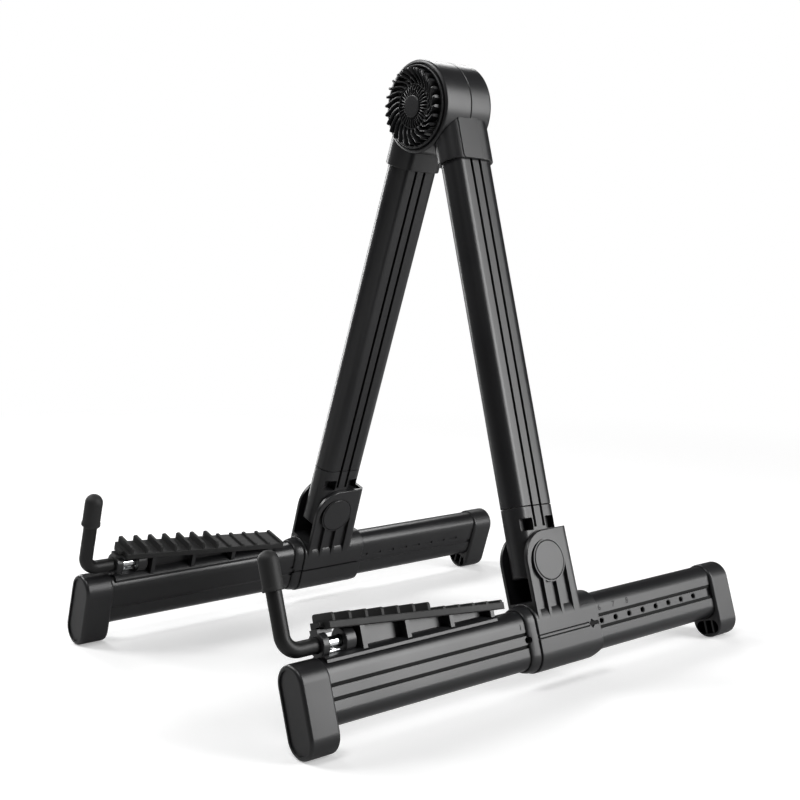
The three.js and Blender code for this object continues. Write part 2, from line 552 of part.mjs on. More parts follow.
// Spring leaf under the arm's shaft, which holds the arm up or out.
function armCatch() {
  const crest = AXIS_Z - SHAFT.radius - CATCH.gap;
  const top = crest - CATCH.bump;
  const middle = (CATCH.front + CATCH.rear) / 2;
  const leaf = polygonShape([[CATCH.front, top - CATCH.thick], [CATCH.rear, top - CATCH.thick],
    [CATCH.rear, top], [middle + 3 * CATCH.bump, top], [middle + CATCH.bump, crest],
    [middle - CATCH.bump, crest], [middle - 3 * CATCH.bump, top], [CATCH.front, top]]);
  return alongX(leaf, LEG_OFFSET - CATCH.half, LEG_OFFSET + CATCH.half);
}

// ---------------------------------------------------------------- one half of the stand

function turnedAlongX(points, segments) {
  return turned(points, segments).applyMatrix4(axes([0, 0, -1], [1, 0, 0], [0, -1, 0]));
}

function pivotCap(face) {
  const base = SLEEVE_HALF - PIVOT.capThick + FIT;
  const top = SLEEVE_HALF + PIVOT.proud;
  const points = [[0, base], [PIVOT.cap, base], [PIVOT.cap, top - EDGE], [PIVOT.cap - EDGE, top], [0, top]];
  const cap = turnedAlongX(points, 20);
  if (face < 0) cap.rotateZ(Math.PI);
  return cap.translate(LEG_OFFSET, PIVOT_Y, PIVOT_Z);
}

function halfPieces() {
  const x = LEG_OFFSET;
  const pinHalf = SLEEVE_HALF - PIVOT.capThick - FIT;
  const cap = toGeometry(capSolid());
  return [
    ['leg', 'leg_tube', legTube(), BLACK_PLASTIC],
    ['leg', 'leg_end', legEnd(), BLACK_PLASTIC],
    ['foot', 'slider', slider(), BLACK_PLASTIC],
    ['foot', 'pivot_pin', alongX(discShape(PIVOT_Y, PIVOT_Z, PIVOT.pin), x - pinHalf, x + pinHalf), STEEL],
    ['foot', 'pivot_cap_outer', pivotCap(1), BLACK_PLASTIC],
    ['foot', 'pivot_cap_inner', pivotCap(-1), BLACK_PLASTIC],
    ['foot', 'foot_tube', footTube(), BLACK_PLASTIC],
    ['foot', 'front_cap', cap.clone().translate(0, FOOT.capFront, 0), DARK_PLASTIC],
    ['foot', 'rear_cap', mirroredY(cap).translate(0, FOOT.capRear, 0), DARK_PLASTIC],
    ['foot', 'wedge_tray', wedgeTray(), BLACK_PLASTIC],
    ['foot', 'wedge_pad', wedgePad(), RUBBER],
    ['foot', 'arm_rod', armRod(), GLOSS_BLACK],
    ['foot', 'arm_tip', armTip(), RUBBER],
    ['foot', 'arm_shaft', alongY(discShape(x, AXIS_Z, SHAFT.radius), SHAFT.front, SHAFT.rear), CHROME],
    ['foot', 'arm_catch', armCatch(), STEEL],
  ];
}

// ---------------------------------------------------------------- assembly

const stand = new THREE.Group();

function halfFrames(sign) {
  const half = new THREE.Group();
  half.position.set(0, HUB_SETBACK, HUB_HEIGHT);
  half.rotation.y = -sign * SPREAD;
  const leg = new THREE.Group();
  leg.rotation.x = -LEAN;
  half.add(leg);
  stand.add(half);
  return { foot: half, leg };
}

const hub = new THREE.Group();
hub.position.set(0, HUB_SETBACK, HUB_HEIGHT);
stand.add(hub);
const right = halfFrames(1);
const left = halfFrames(-1);
buildHub({ hub, right: right.foot, left: left.foot });

for (const [frame, name, shape, look] of halfPieces()) {
  const geometry = shape.isBufferGeometry ? shape : toGeometry(shape);
  piece(right[frame], `right_${name}`, geometry.clone(), look);
  piece(left[frame], `left_${name}`, mirrored(geometry), look);
}

export default stand;
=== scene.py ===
"""Looks of a folding A-frame guitar stand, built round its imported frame.

Each half of the stand is drawn once in millimetres, in a frame of its own: X outward from the hub, Y to the
rear and Z up along the half. The frame's joints say where that half lies. The left half is the mirror image
of the right one.
"""
import json
import logging
import math
from dataclasses import dataclass
from enum import Enum
from typing import Any, ClassVar, Iterable, Sequence

import bmesh
import bpy
from mathutils import Matrix, Vector

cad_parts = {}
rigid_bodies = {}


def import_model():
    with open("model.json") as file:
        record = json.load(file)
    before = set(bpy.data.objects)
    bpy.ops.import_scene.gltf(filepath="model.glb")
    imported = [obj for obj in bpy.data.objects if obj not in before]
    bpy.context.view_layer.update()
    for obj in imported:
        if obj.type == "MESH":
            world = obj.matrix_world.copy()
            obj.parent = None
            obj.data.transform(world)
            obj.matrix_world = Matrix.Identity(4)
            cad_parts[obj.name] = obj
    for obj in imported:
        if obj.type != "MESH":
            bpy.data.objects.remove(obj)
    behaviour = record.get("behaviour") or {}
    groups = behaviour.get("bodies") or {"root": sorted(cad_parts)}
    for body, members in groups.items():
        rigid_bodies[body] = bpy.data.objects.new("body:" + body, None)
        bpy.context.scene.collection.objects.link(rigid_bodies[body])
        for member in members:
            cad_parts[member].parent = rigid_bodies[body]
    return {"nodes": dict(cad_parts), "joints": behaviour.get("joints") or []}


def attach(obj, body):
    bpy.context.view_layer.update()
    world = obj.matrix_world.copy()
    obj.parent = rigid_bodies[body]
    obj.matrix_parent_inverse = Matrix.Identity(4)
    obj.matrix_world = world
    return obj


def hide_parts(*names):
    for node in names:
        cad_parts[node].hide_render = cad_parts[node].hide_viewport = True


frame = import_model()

MM = 0.001      # metres in a millimetre
CLOSE = 1e-4    # points nearer than this, in millimetres, are one point
log = logging.getLogger("guitar_stand")

Point = tuple[float, float]
Outline = list[Point]


class Along(Enum):
    """The direction in which an outline is stretched into a solid."""

    X = "x"
    Y = "y"
    Z = "z"

    def point(self, a: float, b: float, place: float) -> Vector:
        """Return the outline point (a, b) at a place along the direction."""
        return {Along.X: Vector((place, a, b)), Along.Y: Vector((a, place, b)),
                Along.Z: Vector((a, b, place))}[self]


class Join(Enum):
    """What a boolean does with its second solid."""

    ADD = "UNION"
    CUT = "DIFFERENCE"
    KEEP = "INTERSECT"


# ---------------------------------------------------------------- outlines


def arc(cx: float, cy: float, radius: float, start: float, end: float, steps: int = 8) -> Outline:
    """Return points on an arc.

    Args:
        cx: centre, first coordinate.
        cy: centre, second coordinate.
        radius: radius of the arc.
        start: first angle in degrees.
        end: last angle in degrees.
        steps: number of chords.

    Returns:
        steps + 1 points.
    """
    angles = [math.radians(start + (end - start) * i / steps) for i in range(steps + 1)]
    return [(cx + radius * math.cos(t), cy + radius * math.sin(t)) for t in angles]


def disc(cx: float, cy: float, radius: float, sides: int = 48) -> Outline:
    """Return a closed circle of points."""
    return arc(cx, cy, radius, 0, 360, sides)[:-1]


def rounded(cx: float, cy: float, half_a: float, half_b: float, corner: float, steps: int = 8) -> Outline:
    """Return a rectangle with round corners.

    Args:
        cx: centre, first coordinate.
        cy: centre, second coordinate.
        half_a: half width along the first coordinate.
        half_b: half width along the second coordinate.
        corner: corner radius, cut down where the rectangle is too narrow for it.
        steps: chords in each corner.

    Returns:
        The outline, anticlockwise.
    """
    r = min(corner, half_a, half_b)
    points: Outline = []
    for sign_a, sign_b, start in ((1, -1, -90), (1, 1, 0), (-1, 1, 90), (-1, -1, 180)):
        corner_a, corner_b = cx + sign_a * (half_a - r), cy + sign_b * (half_b - r)
        for point in arc(corner_a, corner_b, r, start, start + 90, steps):
            if not points or math.dist(point, points[-1]) > CLOSE:
                points.append(point)
    if math.dist(points[0], points[-1]) < CLOSE:
        points.pop()
    return points


def bend(start: Point, pull: Point, end: Point, steps: int = 8) -> Outline:
    """Return points on a curve that leaves one point and reaches another along a third's directions.

    Args:
        start: first point.
        pull: point that both ends of the curve head for.
        end: last point.
        steps: number of chords.

    Returns:
        steps + 1 points.
    """
    points: Outline = []
    for t in (i / steps for i in range(steps + 1)):
        a, b = (p * (1 - t) ** 2 + q * 2 * t * (1 - t) + r * t * t for p, q, r in zip(start, pull, end))
        points.append((a, b))
    return points


def rectangle(a0: float, a1: float, b0: float, b1: float) -> Outline:
    """Return a rectangle between two opposite corners."""
    return [(a0, b0), (a1, b0), (a1, b1), (a0, b1)]


# ---------------------------------------------------------------- solids


def link(mesh: bpy.types.Mesh, name: str) -> bpy.types.Object:
    """Return a new object in the scene that shows a mesh.

    Args:
        mesh: the mesh to show.
        name: the object's name.

    Returns:
        The object.
    """
    thing = bpy.data.objects.new(name, mesh)
    bpy.context.scene.collection.objects.link(thing)
    return thing


def evaluated(thing: bpy.types.Object) -> bpy.types.Mesh:
    """Return a plain mesh of an object with its modifiers worked out."""
    bpy.context.view_layer.update()
    return bpy.data.meshes.new_from_object(thing.evaluated_get(bpy.context.evaluated_depsgraph_get()))


def settle(thing: bpy.types.Object) -> bpy.types.Object:
    """Return the object with its modifiers worked into its mesh.

    Args:
        thing: the object.

    Returns:
        The same object, with no modifiers left.
    """
    mesh = evaluated(thing)
    thing.modifiers.clear()
    thing.data = mesh
    return thing


def from_bmesh(bm: bmesh.types.BMesh, name: str) -> bpy.types.Object:
    """Return an object made from a bmesh, with its faces pointing outwards.

    Args:
        bm: the bmesh, which is used up.
        name: the object's name.

    Returns:
        The object, in the scene.
    """
    bmesh.ops.recalc_face_normals(bm, faces=bm.faces)
    mesh = bpy.data.meshes.new(name)
    bm.to_mesh(mesh)
    bm.free()
    return link(mesh, name)


def skin(bm: bmesh.types.BMesh, rings: Sequence[Sequence[bmesh.types.BMVert]]) -> None:
    """Close a row of equal rings into a solid.

    Args:
        bm: the bmesh that the rings are in.
        rings: the rings in order, each with its vertices in the same order.
    """
    bm.faces.new(rings[0])
    bm.faces.new(rings[-1])
    for low, high in zip(rings, rings[1:]):
        for i in range(len(low)):
            j = (i + 1) % len(low)
            bm.faces.new((low[i], low[j], high[j], high[i]))


def loft(sections: Sequence[tuple[Outline, float]], along: Along) -> bpy.types.Object:
    """Join outlines of equal length, each at its own place, into a closed solid.

    Args:
        sections: (outline, place) pairs in order.
        along: direction in which the places lie.

    Returns:
        The solid, in millimetres.
    """
    bm = bmesh.new()
    skin(bm, [[bm.verts.new(along.point(a, b, place)) for a, b in outline] for outline, place in sections])
    return from_bmesh(bm, "loft")


def prism(outline: Outline, along: Along, start: float, end: float, edge: float = 0.0,
          steps: int = 3) -> bpy.types.Object:
    """Stretch an outline into a closed solid.

    Args:
        outline: the outline's points.
        along: direction of the stretch.
        start: place of the first end.
        end: place of the last end.
        edge: radius that the two ends' edges are rounded to.
        steps: chords in that rounding.

    Returns:
        The solid, in millimetres.
    """
    bm = bmesh.new()
    skin(bm, [[bm.verts.new(along.point(a, b, place)) for a, b in outline] for place in (start, end)])
    bmesh.ops.recalc_face_normals(bm, faces=bm.faces)
    if edge:
        bm.faces.ensure_lookup_table()
        rims = [e for face in bm.faces[:2] for e in face.edges]
        bmesh.ops.bevel(bm, geom=rims, offset=edge, segments=steps, affect="EDGES", profile=0.5)
    return from_bmesh(bm, "prism")


def turned(profile: Sequence[Point], sides: int = 96) -> bpy.types.Object:
    """Turn a profile about the Y axis.

    Args:
        profile: (radius, y) points, starting and ending on the axis.
        sides: facets round the axis.

    Returns:
        The closed solid.
    """
    bm = bmesh.new()
    rings = []
    for radius, y in profile:
        if radius < CLOSE:
            rings.append([bm.verts.new((0, y, 0))])
        else:
            rings.append([bm.verts.new((a, y, b)) for a, b in disc(0, 0, radius, sides)])
    for low, high in zip(rings, rings[1:]):
        for i in range(sides):
            j = (i + 1) % sides
            corners = [low[i % len(low)], low[j % len(low)], high[j % len(high)], high[i % len(high)]]
            bm.faces.new(list(dict.fromkeys(corners)))
    return from_bmesh(bm, "turned")


def moved(thing: bpy.types.Object, matrix: Matrix) -> bpy.types.Object:
    """Return the object with its mesh moved by a matrix.

    Args:
        thing: the object.
        matrix: the move, which may mirror.

    Returns:
        The same object.
    """
    thing.data.transform(matrix)
    if matrix.determinant() < 0:
        thing.data.flip_normals()
    return thing


def copied(thing: bpy.types.Object) -> bpy.types.Object:
    """Return a separate copy of an object."""
    return link(thing.data.copy(), thing.name)


def combine(base: bpy.types.Object, how: Join, tools: Iterable[bpy.types.Object]) -> bpy.types.Object:
    """Join, cut or intersect a solid with others, which are used up.

    Args:
        base: the solid that stays.
        how: what to do with each of the others.
        tools: the other solids.

    Returns:
        The base, with its new mesh.
    """
    for tool in tools:
        modifier = base.modifiers.new("combine", "BOOLEAN")
        modifier.operation = how.value
        modifier.solver = "MANIFOLD"
        modifier.object = tool
        settle(base)
        bpy.data.objects.remove(tool)
    return base


# ---------------------------------------------------------------- node graphs


class Graph:
    """A node tree with one way to add any node."""

    def __init__(self, tree: bpy.types.NodeTree) -> None:
        """Keep the tree and empty it."""
        self.tree = tree
        tree.nodes.clear()

    def node(self, kind: str, settings: dict[str, Any] | None = None,
             inputs: dict[Any, Any] | None = None) -> bpy.types.Node:
        """Add a node.

        Args:
            kind: the node's type name.
            settings: properties that are set first.
            inputs: socket name or number to a value, a socket or a Value.

        Returns:
            The new node.
        """
        node = self.tree.nodes.new(kind)
        for name, value in (settings or {}).items():
            setattr(node, name, value)
        for key, value in (inputs or {}).items():
            source = value.socket if isinstance(value, Value) else value
            if isinstance(source, bpy.types.NodeSocket):
                self.tree.links.new(source, node.inputs[key])
            else:
                node.inputs[key].default_value = source
        return node

    def ramp(self, factor: "Value", stops: Sequence[tuple[float, float]]) -> "Value":
        """Return a value that follows a ramp of (place, level) stops.

        Args:
            factor: the value that is looked up.
            stops: two (place, level) pairs.

        Returns:
            The ramp's level.
        """
        node = self.node("ShaderNodeValToRGB", inputs={"Fac": factor})
        elements = node.color_ramp.elements
        for element, (place, level) in zip(elements, stops):
            element.position = place
            element.color = (level, level, level, 1)
        return Value(self, node.outputs["Color"])

    def mix(self, factor: "Value", first: Any, second: Any) -> bpy.types.NodeSocket:
        """Return a colour socket between two colours."""
        node = self.node("ShaderNodeMix", {"data_type": "RGBA"}, {0: factor, 6: first, 7: second})
        return node.outputs[2]

    def noise(self, vector: Any, scale: float, detail: float = 2.0) -> "Value":
        """Return noise read at a vector, with a scale in cells per metre."""
        node = self.node("ShaderNodeTexNoise", inputs={"Vector": vector, "Scale": scale, "Detail": detail})
        return Value(self, node.outputs["Fac"])


class Value:
    """A number socket that Python arithmetic works on."""

    def __init__(self, graph: Graph, socket: bpy.types.NodeSocket) -> None:
        """Keep the socket and the graph that it belongs to."""
        self.graph = graph
        self.socket = socket

    def _math(self, operation: str, first: Any, second: Any) -> "Value":
        """Return the result of a Math node."""
        node = self.graph.node("ShaderNodeMath", {"operation": operation}, {0: first, 1: second})
        return Value(self.graph, node.outputs[0])

    def __add__(self, other: Any) -> "Value":
        """Return self + other."""
        return self._math("ADD", self, other)

    __radd__ = __add__

    def __mul__(self, other: Any) -> "Value":
        """Return self * other."""
        return self._math("MULTIPLY", self, other)

    __rmul__ = __mul__

    def __sub__(self, other: Any) -> "Value":
        """Return self - other."""
        return self._math("SUBTRACT", self, other)

    def __rsub__(self, other: Any) -> "Value":
        """Return other - self."""
        return self._math("SUBTRACT", other, self)


# ---------------------------------------------------------------- finishes


@dataclass(frozen=True)
class Finish:
    """A surface: its colours, gloss, grain and slot."""

    CLOUDS: ClassVar[float] = 28.0
    SMEAR: ClassVar[tuple[Point, Point]] = ((0.3, 0.0), (0.7, 1.0))
    FINE_SHARE: ClassVar[float] = 0.6
    CLOUD_HEIGHT: ClassVar[float] = 0.15
    RELIEF: ClassVar[float] = 0.15
    COAT_ROUGH: ClassVar[float] = 0.12
    name: str
    slot: str
    dark: tuple[float, float, float]
    light: tuple[float, float, float]
    rough: tuple[float, float]
    grain: float
    depth: float
    stretch: tuple[float, float, float] = (1.0, 1.0, 1.0)
    metallic: float = 0.0
    coat: float = 0.0

    def material(self) -> bpy.types.Material:
        """Return the finish's material, made the first time it is asked for."""
        known = bpy.data.materials.get(self.name)
        if known:
            return known
        made = bpy.data.materials.new(self.name)
        made.use_nodes = True
        graph = Graph(made.node_tree)
        place = graph.node("ShaderNodeTexCoord").outputs["Object"]
        stretched = graph.node("ShaderNodeMapping", inputs={"Vector": place, "Scale": self.stretch})
        fine = graph.noise(stretched.outputs[0], self.grain, 3.0)
        cloud = graph.noise(place, self.CLOUDS, 4.0)
        smear = graph.ramp(cloud, self.SMEAR)
        tone = fine * self.FINE_SHARE + smear * (1 - self.FINE_SHARE)
        low, high = self.rough
        spread = (high - low) / 2
        bump = graph.node("ShaderNodeBump", inputs={
            "Height": fine + cloud * self.CLOUD_HEIGHT, "Strength": self.RELIEF, "Distance": self.depth})
        shader = graph.node("ShaderNodeBsdfPrincipled", inputs={
            "Base Color": graph.mix(tone, (*self.dark, 1), (*self.light, 1)),
            "Roughness": fine * spread + smear * spread + low,
            "Metallic": self.metallic, "Coat Weight": self.coat, "Coat Roughness": self.COAT_ROUGH,
            "Normal": bump.outputs[0]})
        graph.node("ShaderNodeOutputMaterial", inputs={"Surface": shader.outputs[0]})
        return made


MOULDED = Finish("moulded_black", "black_plastic", (0.011, 0.011, 0.012), (0.020, 0.020, 0.021),
                 (0.28, 0.38), 2600.0, 0.00004)
EXTRUDED = Finish("extruded_black", "black_plastic", (0.009, 0.009, 0.010), (0.016, 0.016, 0.017),
                  (0.26, 0.34), 1500.0, 0.00003)
GRAINED = Finish("grained_black", "dark_plastic", (0.010, 0.010, 0.011), (0.018, 0.018, 0.019),
                 (0.32, 0.42), 2100.0, 0.00006)
POLISHED = Finish("smooth_black", "dark_plastic", (0.013, 0.013, 0.014), (0.022, 0.022, 0.023),
                  (0.26, 0.36), 2400.0, 0.00003)
RUBBER = Finish("matt_rubber", "rubber", (0.008, 0.008, 0.008), (0.016, 0.016, 0.016),
                (0.52, 0.70), 1700.0, 0.00008)
COATED = Finish("coated_rod", "coated_rod", (0.008, 0.008, 0.009), (0.014, 0.014, 0.015),
                (0.20, 0.30), 900.0, 0.00003, coat=0.4)
CHROMED = Finish("chromed_shaft", "chrome", (0.72, 0.73, 0.74), (0.86, 0.87, 0.88),
                 (0.06, 0.16), 1200.0, 0.00001, (1, 12, 1), metallic=1.0)
STEEL = Finish("zinc_steel", "steel", (0.48, 0.49, 0.50), (0.62, 0.63, 0.64),
               (0.28, 0.44), 1800.0, 0.00003, (1, 14, 1), metallic=1.0)
# Dark matt finish for the printed numbers, and also for painted shade: the dark strips on the foot grooves'
# floors and the dark floor in the sleeve's pointer cut.
PRINT_AND_PAINTED_SHADE = Finish("printed_ink", "dark_plastic", (0.002, 0.002, 0.002), (0.004, 0.004, 0.004),
             (0.80, 0.92), 2500.0, 0.00002)


# ---------------------------------------------------------------- repeats


class Repeater:
    """A geometry node tree that copies a piece along a line and round the Y axis."""

    SOCKETS: ClassVar[tuple[tuple[str, str], ...]] = (
        ("Piece", "NodeSocketObject"), ("Count", "NodeSocketInt"), ("First", "NodeSocketVector"),
        ("Step", "NodeSocketVector"), ("Turn", "NodeSocketFloat"), ("Finish", "NodeSocketMaterial"))

    def __init__(self) -> None:
        """Build the tree with its named inputs."""
        self.tree = bpy.data.node_groups.new("repeat_piece", "GeometryNodeTree")
        graph = Graph(self.tree)
        face = self.tree.interface
        face.new_socket("Geometry", in_out="INPUT", socket_type="NodeSocketGeometry")
        self.ids = {name: face.new_socket(name, in_out="INPUT", socket_type=kind).identifier
                    for name, kind in self.SOCKETS}
        face.new_socket("Geometry", in_out="OUTPUT", socket_type="NodeSocketGeometry")
        given = graph.node("NodeGroupInput").outputs
        line = graph.node("GeometryNodeMeshLine", inputs={
            "Count": given["Count"], "Start Location": given["First"], "Offset": given["Step"]})
        piece = graph.node("GeometryNodeObjectInfo", inputs={"Object": given["Piece"]})
        index = graph.node("GeometryNodeInputIndex").outputs[0]
        angle = Value(graph, index) * given["Turn"]
        turn = graph.node("ShaderNodeCombineXYZ", inputs={"Y": angle})
        copies = graph.node("GeometryNodeInstanceOnPoints", inputs={
            "Points": line.outputs["Mesh"], "Instance": piece.outputs["Geometry"],
            "Rotation": turn.outputs[0]})
        real = graph.node("GeometryNodeRealizeInstances", inputs={"Geometry": copies.outputs[0]})
        dressed = graph.node("GeometryNodeSetMaterial", inputs={
            "Geometry": real.outputs[0], "Material": given["Finish"]})
        graph.node("NodeGroupOutput", inputs={0: dressed.outputs[0]})

    def copies(self, piece: bpy.types.Object, count: int, first: Sequence[float] = (0, 0, 0),
               step: Sequence[float] = (0, 0, 0), turn: float = 0.0,
               finish: Finish = MOULDED) -> bpy.types.Object:
        """Copy a piece, which is used up.

        Args:
            piece: the solid to copy.
            count: number of copies.
            first: place of the first copy.
            step: from each copy to the next.
            turn: angle between copies about the Y axis, in radians.
            finish: finish that the copies carry.

        Returns:
            One plain mesh object that holds every copy.
        """
        host = link(bpy.data.meshes.new("copies"), "copies")
        modifier = host.modifiers.new("repeat", "NODES")
        modifier.node_group = self.tree
        values = {"Piece": piece, "Count": count, "First": tuple(map(float, first)),
                  "Step": tuple(map(float, step)), "Turn": float(turn), "Finish": finish.material()}
        for name, value in values.items():
            modifier[self.ids[name]] = value
        settle(host)
        bpy.data.objects.remove(piece)
        return host


# ---------------------------------------------------------------- the two halves


@dataclass(frozen=True)
class Half:
    """Where one half of the stand lies, read from the frame's joints."""

    name: str
    side: int
    matrix: Matrix
    pivot: Point
    lean: float
    arm_depth: float

    @classmethod
    def read(cls, name: str, side: int) -> "Half":
        """Read a half from the frame.

        Args:
            name: left or right.
            side: -1 for the left half and 1 for the right.

        Returns:
            The half, with its pivot and lean in its own millimetres.
        """
        joints = {joint["name"]: joint for joint in frame["joints"]}
        hub = Vector(joints["hub_spread"]["pos_m"])
        fold = joints[f"{name}_fold"]
        outward = Vector(fold["axis"]).normalized() * -side
        up = Vector((-outward.z, 0, outward.x)) * side
        axes = Matrix((outward, Vector((0, 1, 0)), up)).transposed().to_4x4()
        matrix = Matrix.Translation(hub) @ axes @ Matrix.Scale(MM, 4)
        inverse = matrix.inverted()
        pivot = inverse @ Vector(fold["pos_m"])
        arm = inverse @ Vector(joints[f"{name}_arm_swing"]["pos_m"])
        return cls(name, side, matrix, (pivot.y, pivot.z), math.atan2(-pivot.y, -pivot.z), arm.z)

    def lean_matrix(self) -> Matrix:
        """Return the turn that leans a leg piece back."""
        return Matrix.Rotation(-self.lean, 4, "X")


def dress(thing: bpy.types.Object, name: str, finish: Finish, body: str, nodes: Sequence[str],
          matrix: Matrix, sharp: float = 32.0) -> bpy.types.Object:
    """Turn a solid into a finished piece of the stand.

    Args:
        thing: the solid, in millimetres.
        name: the piece's name.
        finish: its surface.
        body: the body it moves with.
        nodes: the frame's nodes that it stands for.
        matrix: from its own millimetres to the stand's metres.
        sharp: edges that turn further than this many degrees stay sharp.

    Returns:
        The piece.
    """
    moved(thing, matrix)
    thing.name = thing.data.name = name
    mesh = thing.data
    mesh.materials.clear()
    mesh.materials.append(finish.material())
    mesh.polygons.foreach_set("material_index", [0] * len(mesh.polygons))
    mesh.shade_smooth()
    mesh.set_sharp_from_angle(angle=math.radians(sharp))
    weighted = thing.modifiers.new("normals", "WEIGHTED_NORMAL")
    weighted.keep_sharp = True
    settle(thing)
    thing.data.name = name
    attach(thing, body)
    if nodes:
        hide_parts(*nodes)
    log.info("%s: %d faces, on %s", name, len(thing.data.polygons), body)
    return thing


# ---------------------------------------------------------------- the extrusion


@dataclass(frozen=True)
class Section:
    """The extruded section that the legs and feet share."""

    centre: float = 11.5
    half_thick: float = 7.8
    half_high: float = 15.3
    corner: float = 7.4
    groove_offset: float = 3.1
    groove_wide: float = 1.8
    groove_deep: float = 2.8

    def plain(self, middle: float, margin: float = 0.0, steps: int = 12) -> Outline:
        """Return the outline without grooves, grown by a margin."""
        return rounded(self.centre, middle, self.half_thick + margin, self.half_high + margin,
                       self.corner + margin, steps)

    def groove(self, face: float, middle: float, wide: float, deep: float, way: int) -> Outline:
        """Return the four points of a groove, in the order in which the outline passes it.

        Args:
            face: place of the face that the groove is cut in.
            middle: place of the groove's middle along the face.
            wide: width of the groove.
            deep: depth of the groove.
            way: 1 on the outer face and -1 on the inner one.
        """
        near, far = middle - way * wide / 2, middle + way * wide / 2
        bottom = face - way * deep
        return [(face, near), (bottom, near), (bottom, far), (face, far)]

    def grooved(self, middle: float, inner: Sequence[tuple[float, float, float]]) -> Outline:
        """Return the outline with its two outer grooves.

        Args:
            middle: height of the section's middle.
            inner: (place, width, depth) of each groove on the inner face.

        Returns:
            The outline, anticlockwise.
        """
        plain = self.plain(middle)
        quarter = len(plain) // 4
        outer_face = self.centre + self.half_thick
        inner_face = self.centre - self.half_thick
        outer: Outline = []
        for way in (-1, 1):
            outer += self.groove(outer_face, middle + way * self.groove_offset,
                                 self.groove_wide, self.groove_deep, 1)
        back: Outline = []
        for place, wide, deep in sorted(inner, reverse=True):
            back += self.groove(inner_face, middle + place, wide, deep, -1)
        return plain[:quarter] + outer + plain[quarter:3 * quarter] + back + plain[3 * quarter:]


SECTION = Section()
FIT = 0.3         # gap between pieces that touch
BEYOND = 120.0    # far enough for a cut to pass right through
FAR = 3 * BEYOND  # further than the stand is tall


# ---------------------------------------------------------------- hub


